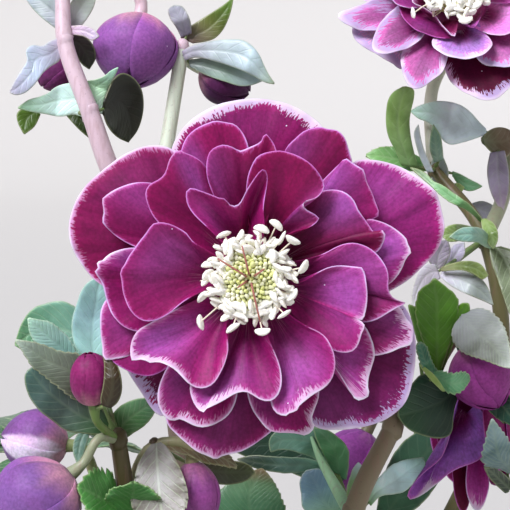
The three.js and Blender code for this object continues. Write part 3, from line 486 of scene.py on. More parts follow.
def tube_tree():
    """Turns drawn lines into round stalks as thick as each point's own radius."""
    tree, node, given = new_tree(
        "Stalks along lines", Sides=("NodeSocketInt", 14), Material=("NodeSocketMaterial", None)
    )
    radius = node("InputNamedAttribute", {"Name": "radius_here"}, data_type="FLOAT")
    line = node("MeshToCurve", (given["Geometry"],))
    sized = node("SetCurveRadius", {"Curve": line, "Radius": radius})
    ring = node("CurvePrimitiveCircle", {"Resolution": given["Sides"], "Radius": 1})
    sweep = node("CurveToMesh", {
        "Curve": sized, "Profile Curve": ring, "Scale": radius, "Fill Caps": True,
    })
    real = node("RealizeInstances", (sweep,))
    done = node("SetMaterial", {"Geometry": real, "Material": given["Material"]})
    node("NodeGroupOutput", (done,))
    return tree


def anther_tree():
    """Sets a two-lobed anther on each point, turned and sized as the point says."""
    tree, node, given = new_tree(
        "Anthers on points",
        Length=("NodeSocketFloat", 0.003),
        Width=("NodeSocketFloat", 0.0015),
        Material=("NodeSocketMaterial", None),
    )
    ball = node("MeshUVSphere", {"Segments": 10, "Rings": 6, "Radius": 0.5})
    where = node("InputPosition")
    x, y, z = node("ShaderNodeSeparateXYZ", (where,)).outputs
    square = node("ShaderNodeMath", (x, x), operation="MULTIPLY")
    slope = node("ShaderNodeMath", (square, 5, 0.55), operation="MULTIPLY_ADD")
    held = node("ShaderNodeMath", (slope, 1.1), operation="MINIMUM")
    lobed = node("ShaderNodeMath", (y, held), operation="MULTIPLY")
    far = node("ShaderNodeMath", (z, z), operation="MULTIPLY")
    bent = node("ShaderNodeMath", (far, 0.9, x), operation="MULTIPLY_ADD")
    shape = node("ShaderNodeCombineXYZ", (bent, lobed, z))
    moved = node("SetPosition", {"Geometry": ball, "Position": shape})
    flat = node("ShaderNodeMath", (given["Width"], 0.85), operation="MULTIPLY")
    extent = node("ShaderNodeCombineXYZ", (given["Width"], flat, given["Length"]))
    anther = node("Transform", {"Geometry": moved, "Scale": extent})
    aim = node("InputNamedAttribute", {"Name": "aim"}, data_type="FLOAT_VECTOR")
    size = node("InputNamedAttribute", {"Name": "grown"}, data_type="FLOAT_VECTOR")
    turn = node("FunctionNodeEulerToRotation", (aim,))
    points = node("MeshToPoints", (given["Geometry"],))
    many = node("InstanceOnPoints", {
        "Points": points, "Instance": anther, "Rotation": turn, "Scale": size,
    })
    real = node("RealizeInstances", (many,))
    rounded = node("SetShadeSmooth", (real,))
    done = node("SetMaterial", {"Geometry": rounded, "Material": given["Material"]})
    node("NodeGroupOutput", (done,))
    return tree


def crumb_tree():
    """Scatters crumbs over the faces that look up, from a fixed seed."""
    tree, node, given = new_tree(
        "Crumbs on soil",
        Density=("NodeSocketFloat", 60000.0),
        Crumb=("NodeSocketFloat", 0.0016),
        Seed=("NodeSocketInt", 4),
        Material=("NodeSocketMaterial", None),
    )
    normal = node("InputNormal")
    rise = node("ShaderNodeSeparateXYZ", (normal,)).outputs[2]
    level = node("ShaderNodeMath", (rise, 0.5), operation="GREATER_THAN")
    points = node("DistributePointsOnFaces", {
        "Mesh": given["Geometry"], "Selection": level, "Density": given["Density"], "Seed": given["Seed"],
    })
    crumb = node("MeshIcoSphere", {"Radius": given["Crumb"], "Subdivisions": 1})
    size = node("FunctionNodeRandomValue", {
        0: (0.25, 0.25, 0.2), 1: (1.3, 1, 0.8), "Seed": given["Seed"],
    }, data_type="FLOAT_VECTOR")
    spin = node(
        "FunctionNodeRandomValue", {0: (0, 0, 0), 1: (6.3, 6.3, 6.3), "Seed": 9}, data_type="FLOAT_VECTOR"
    )
    turn = node("FunctionNodeEulerToRotation", (spin,))
    many = node("InstanceOnPoints", {
        "Points": points, "Instance": crumb, "Rotation": turn, "Scale": size,
    })
    real = node("RealizeInstances", (many,))
    done = node("SetMaterial", {"Geometry": real, "Material": given["Material"]})
    node("NodeGroupOutput", (done,))
    return tree


def grow(name, mesh, tree, **inputs):
    """Runs the tree on the mesh and keeps what it makes as a plain mesh."""
    piece = bpy.data.objects.new(name, mesh)
    bpy.context.scene.collection.objects.link(piece)
    modifier = piece.modifiers.new("Grow", "NODES")
    modifier.node_group = tree
    for item in tree.interface.items_tree:
        if item.in_out == "INPUT" and item.name in inputs:
            modifier[item.identifier] = inputs[item.name]
    graph = bpy.context.evaluated_depsgraph_get()
    made = bpy.data.meshes.new_from_object(
        piece.evaluated_get(graph), preserve_all_data_layers=True, depsgraph=graph
    )
    piece.modifiers.clear()
    piece.data = made
    made.name = name
    return piece


def mark(mesh, label, values):
    """Gives each point of the mesh a named number or vector."""
    values = np.array(values, np.float32)
    kind, field = ("FLOAT", "value") if values.ndim == 1 else ("FLOAT_VECTOR", "vector")
    mesh.attributes.new(label, kind, "POINT").data.foreach_set(field, values.ravel())


def lines_mesh(name, lines):
    """A mesh of drawn lines: each a row of points, its radii and its colours, in millimetres."""
    mesh = bpy.data.meshes.new(name)
    points, edges, radii, tones = [], [], [], []
    for line, radius, tone in lines:
        start = len(points)
        points.extend((line * MM).tolist())
        edges.extend((start + i, start + i + 1) for i in range(len(line) - 1))
        radii.extend(np.broadcast_to(radius, len(line)) * MM)
        tones.extend(np.broadcast_to(tone, (len(line), 3)))
    mesh.from_pydata(points, edges, [])
    mark(mesh, "radius_here", radii)
    mark(mesh, "tone", tones)
    return mesh


# ---------------------------------------------------------------- petals
SWEEP = math.radians(118)  # how far round its oval the free edge of a petal runs
ROOT_HALF = 1.4
ROOT_RING = 6.4
# each ring's height at its root, at its belly's share of the reach and at its tip, then its curl
RINGS = {
    "sepal": dict(root=-4, belly=(0.55, -7), tip=-4.5, oval=0.46, cup=1, wave=0.3, roll=1.6),
    "outer": dict(root=-2.7, belly=(0.5, -2.4), tip=-0.6, oval=0.42, cup=0.8, wave=0.3, roll=1.3),
    "middle": dict(root=-1.5, belly=(0.5, 1.2), tip=2.6, oval=0.42, cup=0.7, wave=0.3, roll=1.1),
    "inner": dict(root=-0.5, belly=(0.5, 4.4), tip=5.6, oval=0.42, cup=0.6, wave=0.3, roll=1.1),
    "crest": dict(root=0.4, tip=8.4),
}


def ring_petal(ring, index, reach, **extra):
    """A petal that follows its ring's rule, with the three points of its line from root to tip."""
    rule = RINGS[ring]
    share, belly = rule["belly"]
    line = [(ROOT_RING, rule["root"]), (lerp(ROOT_RING, reach, share), belly), (reach, rule["tip"])]
    return {**rule, "phase": index * GOLDEN, "index": index, "line": line, **extra}


def petal_grid(petal, cols, rows):
    """The petal's middle surface in its bloom's own axes, and the share across and along of each point."""
    t = np.linspace(-1, 1, cols + 1)[None, :]
    s = (np.linspace(0, 1, rows + 1) ** 0.85)[:, None]
    phi = t * SWEEP
    half = petal["wide"] / 2
    phase = petal["phase"]
    edge = 1 - petal["oval"] * (1 - np.cos(phi)) + petal["corner"] * bell(t, 0.17)
    edge = edge + 0.006 * np.sin(19 * t + 3 * phase) + 0.004 * np.sin(43 * t + phase)
    u = s * edge
    y = np.sin(phi) * half * s**0.85 + ROOT_HALF * (1 - s) * t
    radius, height = (
        (1 - u) ** 2 * root + 2 * u * (1 - u) * belly + u * u * tip
        for root, belly, tip in zip(*petal["line"])
    )
    across = y / half
    height = height + petal["roll"] * across * s + petal["cup"] * across**2 * s
    height = height + petal["wave"] * np.sin(2 * phi + phase) * s**3
    height = height + 0.18 * np.sin(7 * phi + 2 * phase) * s**5 - 0.22 * bell(t, 0.1) * s * (1.2 - s)
    height = height + 0.12 * np.cos(t * 34) * s * (1 - s) ** 2
    radius = radius - petal.get("hug", 0) * across**2 * s
    angle = math.radians(petal["at"])
    out, left = vec(math.cos(angle), math.sin(angle), 0), vec(-math.sin(angle), math.cos(angle), 0)
    grid = radius[..., None] * out + y[..., None] * left + height[..., None] * vec(0, 0, 1)
    return grid, np.broadcast_to(t, y.shape), np.broadcast_to(s, y.shape)


def margin_of(grid):
    """How far each point of a sheet lies from its free edge."""
    rim = np.concatenate([grid[2:, 0], grid[-1], grid[2:, -1]])
    flat = grid.reshape(-1, 1, 3)
    nearest = np.sqrt(((flat - rim[None]) ** 2).sum(-1)).min(1)
    return nearest.reshape(grid.shape[:2])


def add_petal(skin, petal, place, thickness, colours, cols, rows):
    grid, t, s = petal_grid(petal, cols, rows)
    margin = margin_of(grid)
    thick = thickness * lerp(0.35, 1, smooth(0, 1.2, margin))
    way = np.stack([t * petal["wide"] * 1.5, s, margin], -1)
    tone = lerp(np.array(colours.petal_deep), np.array(colours.petal_plum), petal["shade"])
    # painted sheen: the first trait is how much lilac sheen is painted on this petal
    trait = (petal.get("painted_sheen", 0.1), petal["rim"], petal["index"] * 3.7)
    skin.sheet(set_in(grid, place), thick, way, tone, trait)


# The open bloom's petals as their rims are seen from the eye: each point is so many squares of
# STEP mm to the right of the bloom's middle and up from it. A rim runs anticlockwise from one side
# of the foot round to the other, and a third number lifts that point towards the viewer, in mm.
# A petal says:
#   at     its direction in degrees        rim    how wide its pale rim is
#   lift   mm above its ring               shade  from the deep to the plum colour
#   ridge  where and how high it swells    painted_sheen  where, how wide and how strong its painted lilac sheen is
#   snow   where the rim is wider          tuck   how far its two sides go under their neighbours
#   crease, pleat  where, how high or deep and how wide; wash  its own colour (in one back petal painted
#   light); painted_light  how much lighter or darker it is painted for the light or shade it lies in
STEP = 0.215
OUTLINES = {
    "sepal": [
        dict(at=93, lift=0.5, rim=1.8, shade=0.5, ridge=(0.1, 1), painted_sheen=(0.1, 0.85, 0.5, 0.15),
             snow=(0, 0.6, 0.17),
             points="56,88 72,118 77,140 70,153 55,165 38,173.5 20,178 2,179 -15,177 -32,173 -47,166 "
             "-60,157 -71,144 -78,130 -78,113 -60,78"),
        dict(at=151, rim=1.2, shade=0.2, ridge=(-0.2, 1.2), painted_sheen=(-0.3, 0.8, 0.4, 0.15),
             snow=(0.1, 0.4, 0.11),
             points="-44,82 -58,108 -72,124 -84,131 -98,132.5 -112,129.5 -128,122 -142,112 -156,100 "
             "-168,87 -176.5,71 -180.5,56 -180.5,41 -176,26 -167,12 -157,0 -144,-9 -122,-16 "
             "-90,-18"),
        dict(at=16, lift=-0.4, rim=1.2, shade=0.9, ridge=(0.2, 1.2), painted_sheen=(0.4, 0.8, 0.35, 0.45),
             snow=(0.2, 0.5, 0.28),
             points="88,-26 118,-21 142,-11 158,-1 170,10 181,21 188,31 192,42 193.5,53 191,66 188,78 "
             "185,86,0.4 175,95 164,103 152,110 138,115 125,117.5 112,118 104,116 94,106 84,88 "
             "70,62"),
        dict(at=-43, lift=0.2, rim=2.2, shade=1, ridge=(-0.3, 1), painted_sheen=(-0.5, 0.8, 0.4, 0.25),
             snow=(0.1, 0.6, 0.17), painted_light=0.56,
             points="34,-80 42,-114 53,-139 70,-150 90,-151 112,-148 132,-142 147,-132 156,-121 "
             "161,-106 164,-90 165,-72 163.5,-54 159,-38 152,-27 138,-20 115,-17 85,-14"),
        dict(at=-101, lift=0.8, rim=0.9, shade=0.6, ridge=(-0.3, 1.2), painted_sheen=(-0.1, 0.7, 0.5, 0.25),
             snow=(-0.1, 0.25, 0.55), painted_light=0.8,
             points="-36,-88 -64,-114 -83,-132 -82,-146 -74,-155 -64,-164 -53,-172.5 -43,-177 -37,-180 "
             "-35,-181.5 -32,-179 -22,-176 -10,-173 0,-168 10,-161 20,-153.5 30,-142 35,-122 "
             "28,-88"),
        dict(at=226, lift=-1.6, rim=2, shade=0.3, ridge=(0, 1), painted_sheen=(0, 0.7, 0.4, 0.1),
             snow=(0, 0.6, 0.17), painted_light=0.6,
             points="-92,-40 -120,-60 -128,-80 -122,-93 -114,-106 -106,-118 -99,-129 -90,-137 -78,-133 "
             "-64,-116 -48,-86"),
    ],
    "outer": [
        dict(at=103, rim=0.5, shade=0.3, ridge=(0.35, 1.3), painted_sheen=(0.3, 0.8, 0.14, 0.7),
             snow=(-0.25, 0.3, 0.44), painted_light=1.15,
             points="-6,82 0,108 -1.5,128 -6,142 -12,150.5 -16.5,154 -24,155.5 -35,157 -43,154.5 "
             "-50,151.5 -57,147 -63,141 -67,133 -69,120 -60,93 -44,64"),
        dict(at=63, lift=0.1, rim=0.5, shade=0.2, ridge=(0, 1.6), painted_sheen=(0.38, 0.75, 0.32, 0.75),
             snow=(-0.3, 0.3, 0.5),
             points="72,62 93,90 102,112 100,122 97,132 94.5,139 90,145 85.5,148 78,148.5 70,150.5 "
             "62,149.5 53,146 45,139 37,131 31,118 24,88 17,62"),
        dict(at=41, lift=0.8, rim=0.6, shade=0.6, ridge=(0.1, 1.6), painted_sheen=(0.3, 0.75, 0.35, 0.85),
             snow=(-0.1, 0.3, 0.44),
             points="75,26 100,45 118,58 127.5,62 128,67 125,75 121,86 116,96 114,103 113,107.5 "
             "106,112 100,116 94.5,119.5,0.6 90,115 83,108 75,100 60,83 44,56"),
        dict(at=9, lift=0.4, rim=0.9, shade=0.8, ridge=(0.2, 1.3), painted_sheen=(0.1, 0.8, 0.4, 0.9),
             snow=(-0.15, 0.25, 0.55),
             points="85,-14 118,-13 138,-6 147,3 152,12 155,20 160.5,27 157.5,32 155.5,39 152,43 "
             "146,48 138,53 128,57 116,59 98,55 72,42"),
        dict(at=-20, lift=0.2, rim=1.1, shade=0.6, ridge=(0.2, 1.2), painted_sheen=(0.3, 0.8, 0.35, 0.6),
             snow=(0.1, 0.35, 0.55), painted_light=0.8,
             points="68,-56 100,-74 123,-77 138,-74 150,-69 160.5,-65.5 162,-57 162,-48 156,-41 "
             "152,-34 149,-29 135,-26 110,-22 75,-18"),
        dict(at=-44, lift=0.9, rim=1, shade=0.7, ridge=(0.1, 1.2), painted_sheen=(0, 0.7, 0.5, 0.8),
             snow=(0.05, 0.3, 0.66), painted_light=1.25,
             points="56,-56 76,-78 88,-94 94,-103 100,-113 104,-119.5 108,-121.8 113,-120.5 "
             "118.5,-116.5 117,-108 118,-98 121,-88 124,-78 123,-68 120,-59 114,-48 100,-40 "
             "72,-30"),
        dict(at=-75, lift=0.4, rim=1, shade=0.8, ridge=(-0.3, 1), painted_sheen=(-0.5, 0.7, 0.3, 0.35),
             snow=(0.1, 0.35, 0.66), painted_light=0.85,
             points="0,-80 -3,-112 3,-132 10,-142 18,-151 26,-153.5 36,-154 47,-155 55.5,-156.8 "
             "61,-153 64,-148 61,-141 64,-130 68,-118 67,-100 50,-64"),
        dict(at=245, lift=0.7, rim=1, shade=0.7, ridge=(-0.4, 1.2), painted_sheen=(-0.4, 0.7, 0.3, 0.5),
             snow=(0, 0.3, 0.66),
             points="-52,-56 -78,-82 -88,-100 -92,-114 -91.5,-126 -87.5,-135.5 -83,-140 -78,-142.5 "
             "-71,-140.5 -64,-143 -57,-146.5 -49,-148.5 -40,-147 -31,-143 -23,-137 -17,-128 "
             "-13,-112 -18,-74"),
        dict(at=217, lift=0.3, rim=0.4, shade=0.7, ridge=(0, 1), painted_sheen=(-0.4, 0.8, 0.3, 0.2),
             snow=(0, 0.3, 0.11),
             points="-74,-28 -110,-47 -135,-67 -142,-79 -136,-84 -128,-89 -120,-93 -110,-96.5 -100,-97 "
             "-91,-94 -82,-88 -66,-72 -46,-52"),
        dict(at=200, lift=1, rim=0.8, shade=0.3, ridge=(-0.2, 1), painted_sheen=(-0.1, 0.75, 0.4, 0.45),
             snow=(0.1, 0.3, 0.5), painted_light=1.12,
             points="-75,-10 -120,-12 -140,-18 -148,-29 -149.5,-42 -149,-55 -147.5,-68 -145.5,-80.5 "
             "-134,-80 -118,-76 -95,-62 -62,-40"),
        dict(at=152, lift=0.3, rim=0.7, shade=0.4, ridge=(-0.3, 1.3), painted_sheen=(-0.35, 0.85, 0.3, 0.4),
             snow=(0, 0.2, 0.5),
             points="-50,72 -78,91 -100,95 -110,95.5 -120,94 -130,90.5 -138,86.5 -143,83 -147.5,79 "
             "-146.5,72 -146,65 -147.5,56.5 -142,49.5 -135,43 -126,37 -116,32 -98,26 -64,22"),
    ],
    "middle": [
        dict(at=184, lift=0.2, rim=0.8, shade=0.6, ridge=(-0.55, 1.2), painted_sheen=(-0.42, 0.8, 0.16, 0.75),
             tuck=(1, 0), snow=(-0.3, 0.15, 0.66),
             points="-54,14 -90,26 -108,29.5 -120,30 -132,27.5 -142,23 -148,17 -153,16.5,1.2 "
             "-151.5,10,0.6 -155,6.5,0.6 -151,1 -147,-7 -144.5,-18 -142,-27 -138,-36 -131,-44.5 "
             "-123,-50 -113,-53 -102,-52.5 -90,-48 -74,-36 -48,-18"),
        dict(at=130, lift=-0.2, rim=0.6, shade=0.3, ridge=(-0.25, 1.5), painted_sheen=(-0.3, 0.75, 0.14, 0.75),
             snow=(-0.15, 0.15, 0.5),
             points="-24,56 -35,88 -43,109 -50,117 -58,122 -66,125 -71.5,127.5,0.6 -79,121 -82,114 "
             "-84,107 -89,100 -96,96 -101.5,92.5 -104,88 -104.5,83 -103,76 -100,68 -96,61 "
             "-90,54 -74,40 -44,24"),
        dict(at=95, lift=1, rim=0.5, shade=0.2, ridge=(0.35, 1.2), painted_sheen=(0.45, 0.85, 0.25, 0.45),
             tuck=(1, 0), snow=(-0.03, 0.2, 0.61),
             points="16,54 26,96 27,118 25,130 21,138 17,142.5,0.5 14.5,145,0.8 13,141,0.6 "
             "11,136.5,0.3 5,133 -2,130,-0.5 -10,127,-0.9 -15,129,-0.6 -21,132 -28,133 -34,131 "
             "-39.5,127 -42.5,120 -43.5,110 -42,98 -34,78 -19,52"),
        dict(at=31, lift=-0.4, rim=0.7, shade=0.2, ridge=(0, 1.8), painted_sheen=(0.3, 0.9, 0.2, 0.9), tuck=(1, 1),
             snow=(-0.15, 0.12, 0.5), painted_light=0.8,
             points="50,14 90,16 115,21 127,27 130.5,31.5 133,37,0.6 134.5,43,1.4 132.5,47.5,1.6 "
             "129,47,1 126,44.5,0.2 122.5,46.5 118,53 112,61.5 107,68.5 104,76 99,82 93,86 "
             "86,88 78,88 69,86 54,76 36,48"),
        dict(at=-1, lift=0.8, rim=0.7, shade=0.5, ridge=(0.25, 1.4), painted_sheen=(0.25, 0.85, 0.4, 0.5),
             tuck=(2.6, 0), snow=(-0.2, 0.2, 0.55), painted_light=0.85,
             points="46,-28 80,-44 110,-44 122,-42.5 130,-39 138,-34 147,-29 155.5,-25,-0.6 "
             "150,-23,-0.4 143,-20 138.5,-14.5 137,-7 137.5,1 136,9 132,16.5 127,23 120,29 "
             "112,33 103,35 94,34 85,30.5 75,25 56,19 36,16"),
    ],
    "inner": [
        dict(at=67, lift=0.4, rim=0.55, shade=0.2, ridge=(0.05, 1.6), painted_sheen=(-0.45, 0.85, 0.2, 0.5),
             tuck=(0, 1.6), snow=(-0.45, 0.12, 0.88),
             points="30,40 46,47,-0.8 57,50,-1 65,55,-1 68.5,60,-0.8 63,64.5,-0.6 57,67.5,-0.3 "
             "53,71.5,0.5 53,76,1.2 59,78.3,1.2 65,80,0.9 70,84,0.6 73,89,0.3 73.5,94 71,100 "
             "67,106 62,112 55,117.5 47,122 39,125 30,127 20,126 12,124 6,120 2,113 -1,106 "
             "-3,97 -4,82 -3,62 2,42"),
        dict(at=-17, lift=-0.6, rim=0.8, shade=0.7, ridge=(0.3, 1.5), crease=(-0.04, 0.3),
             painted_sheen=(0.2, 0.75, 0.4, 0.9), tuck=(1.4, 0), snow=(-0.12, 0.25, 0.66),
             points="34,-29 55,-48 70,-62 81,-71 88,-73.5 97,-74 103,-72 107,-67 109.5,-60 111.5,-53 "
             "114.5,-48,0.5 111.5,-44,0.2 107,-40.5,-0.4 112,-41.5,0.3 114.5,-34 116,-25 "
             "116.5,-15 115.5,-5 114,5 111,10.5,0.4 105,11 97,12 88,12.5 79,11 70,7 55,-2 36,-8"),
        dict(at=-59, lift=-0.2, rim=0.9, shade=0.8, ridge=(0.1, 1.2), painted_sheen=(-0.1, 0.7, 0.5, 0.8),
             tuck=(1.4, 0), snow=(-0.05, 0.25, 0.83), painted_light=1.12,
             points="16,-52 21,-92 20.5,-122 23.5,-131 28,-135.5 34,-137,0.4 38.5,-136.5,0.6 "
             "39,-133,0.5 45,-133.5,0.8 48,-128,0.7 55,-121.5,0.5 63,-115.5 71,-111 78,-105 "
             "82.5,-97.5 84.5,-87 83.5,-76 80,-67 75,-59 68,-53.5 60,-50 48,-43 32,-30"),
        dict(at=-96, lift=0.7, rim=1, shade=0.7, ridge=(0.45, 1.4), painted_sheen=(-0.15, 0.85, 0.4, 0.7),
             tuck=(1.6, 0), snow=(-0.08, 0.3, 0.77),
             points="-14,-34 -35,-67 -53,-90 -60,-108 -58,-120 -54,-128 -50,-132.5,0.5 -47,-134,0.8 "
             "-44.5,-130.5,0.8 -36,-126.5,0.9 -27,-122,1 -18,-116.5,1 -10,-113.5,0.9 "
             "-3,-113.5,0.7 5,-118,0.3 12,-121.5 20,-122 26,-118 30,-110 31,-99 29,-87 24,-74 "
             "18,-60 9,-36"),
        dict(at=230, lift=1.6, rim=1, shade=0.6, ridge=(0.5, 1.4), painted_sheen=(-0.3, 0.75, 0.35, 1),
             tuck=(1.4, 0), snow=(-0.12, 0.3, 0.77), painted_light=1.08,
             points="-38,-14 -80,-34 -102,-46 -113,-53.5 -118.5,-64 -119.5,-73 -117.5,-83,0.8 "
             "-113,-81,0.9 -105,-82,1 -100,-84.5,1.1 -93,-83.5,1.1 -84,-86,1 -76,-90.5,0.7 "
             "-69,-97,0.3 -62,-104.5 -55,-108.5 -48,-109.5 -41,-107.5 -35,-102.5 -30,-94 "
             "-25.5,-84 -22.5,-72 -23,-60 -24,-46 -17,-28"),
        dict(at=177, lift=2.2, rim=0.6, shade=0.4, ridge=(-0.15, 1.5), painted_sheen=(-0.3, 0.65, 0.4, 0.5),
             tuck=(0, 0.8), snow=(0.1, 0.3, 0.28),
             points="-24,16 -45,29 -58,37 -64,45 -72,50 -81,54 -90,55.5 -97,54 -101,49 -104.5,44 "
             "-110,37.5 -116,29 -121,22 -125.5,13 -129.5,6.5,0.4 -128,-3 -127,-13 -124,-23 "
             "-120,-31 -114,-38 -107,-42 -99,-42.5 -90,-40 -80,-34 -68,-24 -52,-15 -26,-6"),
    ],
    "crest": [
        dict(at=104, lift=0.4, rim=0.5, shade=0.5, ridge=(0.45, 1), painted_sheen=(0.5, 0.7, 0.3, 0.3),
             snow=(-0.03, 0.18, 0.55), painted_light=1.15,
             points="12,34 14,52 13,70 14.5,82,-0.3 16.5,93,-0.3 17,101,0.2 15.5,107,1 12.5,109,1.8 "
             "8.5,105.5,2.2 2,96.5,2.2 -4,87,1.6 -9,77,0.5 -12.5,73,-0.4 -18,72,-0.8 "
             "-22.5,75,-0.4 -25,79,0.3 -31,80,0.2 -41,84,0.2 -51,87.5,0.3 -59,90,0.5 -63,88,0.4 "
             "-64,82.5 -62.5,74 -58,66 -51,58.5 -43,51 -33,41 -20,28"),
    ],
}


def read_points(text):
    """Points written as x,y or x,y,z and set apart by spaces."""
    return [tuple(float(number) for number in point.split(",")) for point in text.split()]


def on_plane(point, height, place):
    """Where the line of sight through a drawn point meets a bloom's plane, in the bloom's own axes."""
    at, axes = place
    ahead = seen(point[0] * STEP, point[1] * STEP, 0) - EYE
    far = (height + (at - EYE) @ axes[2]) / (ahead @ axes[2])
    return axes @ (EYE + far * ahead - at)


def outline_petal(ring, petal, index, place, rows=20, step=1.05):
    """The middle surface of a petal drawn by its rim, with mm along the rim and share out to it."""
    lift = petal.get("lift", 0)
    points = read_points(petal["points"])
    rim, _ = catmull([on_plane(p, RINGS[ring]["tip"] + lift + sum(p[2:]), place) for p in points], 0.4)
    travelled = np.concatenate([[0], np.cumsum(np.linalg.norm(np.diff(rim, axis=0), axis=1))])
    around = travelled[-1]
    arc = np.linspace(0, around, int(around / step) + 1)
    rim = np.stack([np.interp(arc, travelled, rim[:, k]) for k in range(3)], -1)
    t = 2 * arc / around - 1
    arc = arc - around / 2

    angle = math.radians(petal["at"])
    out, left = vec(math.cos(angle), math.sin(angle), 0), vec(-math.sin(angle), math.cos(angle), 0)
    base = out * ROOT_RING + left * (ROOT_HALF * t)[:, None] + vec(0, 0, RINGS[ring]["root"] + 0.4 * lift)
    reach = rim - base
    ahead = np.maximum(reach @ out, 0)[:, None]
    aside = (reach @ left)[:, None]
    knee = base + out * ahead * 0.55 + left * aside * 0.22
    s = (np.linspace(0, 1, rows + 1) ** 0.8)[:, None]
    k = s[..., None]
    grid = (1 - k) ** 2 * base + 2 * k * (1 - k) * knee + k * k * rim
    grid[..., 2] = base[:, 2] + (rim[:, 2] - base[:, 2]) * s**1.2

    phase = index * GOLDEN
    at_t, size = petal["ridge"]
    relief = size * bell(t - at_t, 0.42) * smooth(0.05, 0.75, s) * (1 - 0.45 * s**4)
    low, high = petal.get("tuck", (0, 0))
    relief = relief - (0.4 + low) * smooth(0.4, 0.85, -t) * s - (0.4 + high) * smooth(0.4, 0.85, t) * s
    relief = relief + 0.3 * np.sin(arc * 0.5 + phase) * s**3 + 0.14 * np.sin(arc * 1.35 + 2 * phase) * s**5
    relief = relief + 0.45 * np.sin(arc * 0.23 + 3 * phase) * smooth(0.72, 1, s)
    relief = relief + 0.07 * np.cos(arc * 2.6) * s * (1 - s) ** 2
    if "crease" in petal:
        at_t, deep = petal["crease"]
        relief = relief + deep * bell(t - at_t, 0.03) * smooth(0.35, 0.9, s)
    if "pleat" in petal:
        at_t, deep, wide = petal["pleat"]
        relief = relief - deep * bell(t - at_t, wide) * smooth(0.05, 0.35, s) * smooth(1, 0.6, s)
    grid[..., 2] += relief
    t = np.broadcast_to(t, relief.shape)
    return grid, t, np.broadcast_to(arc, relief.shape), np.broadcast_to(s, relief.shape)


def add_outlined(skin, ring, petal, index, place, thickness, colours):
    grid, t, arc, s = outline_petal(ring, petal, index, place)
    margin = margin_of(grid)
    thick = thickness * lerp(0.35, 1, smooth(0, 1.2, margin))
    tone = lerp(np.array(colours.petal_deep), np.array(colours.petal_plum), petal["shade"])
    if "wash" in petal:
        code, amount = petal["wash"]
        tone = lerp(tone, np.array(linear(code)), amount * smooth(0.2, 0.75, s)[..., None])
    # painted light and shade: each petal is painted lighter or darker for the light or shade it lies in, and
    # every petal is darker towards its foot
    tone = tone * (petal.get("painted_light", 1) * lerp(0.7, 1, smooth(0.1, 0.5, s)))[..., None]
    if "crease" in petal:
        streak = bell(t - petal["crease"][0], 0.035) * smooth(0.3, 0.5, s) * smooth(0.98, 0.8, s)
        tone = lerp(tone, np.array(colours.petal_bright), streak[..., None])
    # painted sheen: where, how wide and how strong the lilac painted on the lit side of the petal is
    at_t, at_s, wide, strength = petal["painted_sheen"]
    painted_sheen = strength * bell(t - at_t, wide) * bell(s - at_s, 0.32)
    at_t, wide, extra = petal["snow"]
    rim = petal["rim"] * (1 + extra * bell(t - at_t, wide))
    # the rim fades where the side of the petal goes in under its neighbours
    margin = margin + 2.5 * smooth(0.72, 0.9, np.abs(t))
    trait = np.stack([painted_sheen, rim, np.full_like(painted_sheen, index * 3.7)], -1)
    skin.sheet(set_in(grid, place), thick, np.stack([arc, s, margin], -1), tone, trait)


def add_outlines(skin, outlines, first, place, thickness, colours):
    """Adds a bloom's drawn petals ring by ring; each one's number gives it its own waves."""
    rows = [(ring, petal) for ring, petals in outlines.items() for petal in petals]
    for index, (ring, petal) in enumerate(rows, first):
        add_outlined(skin, ring, petal, index, place, thickness, colours)


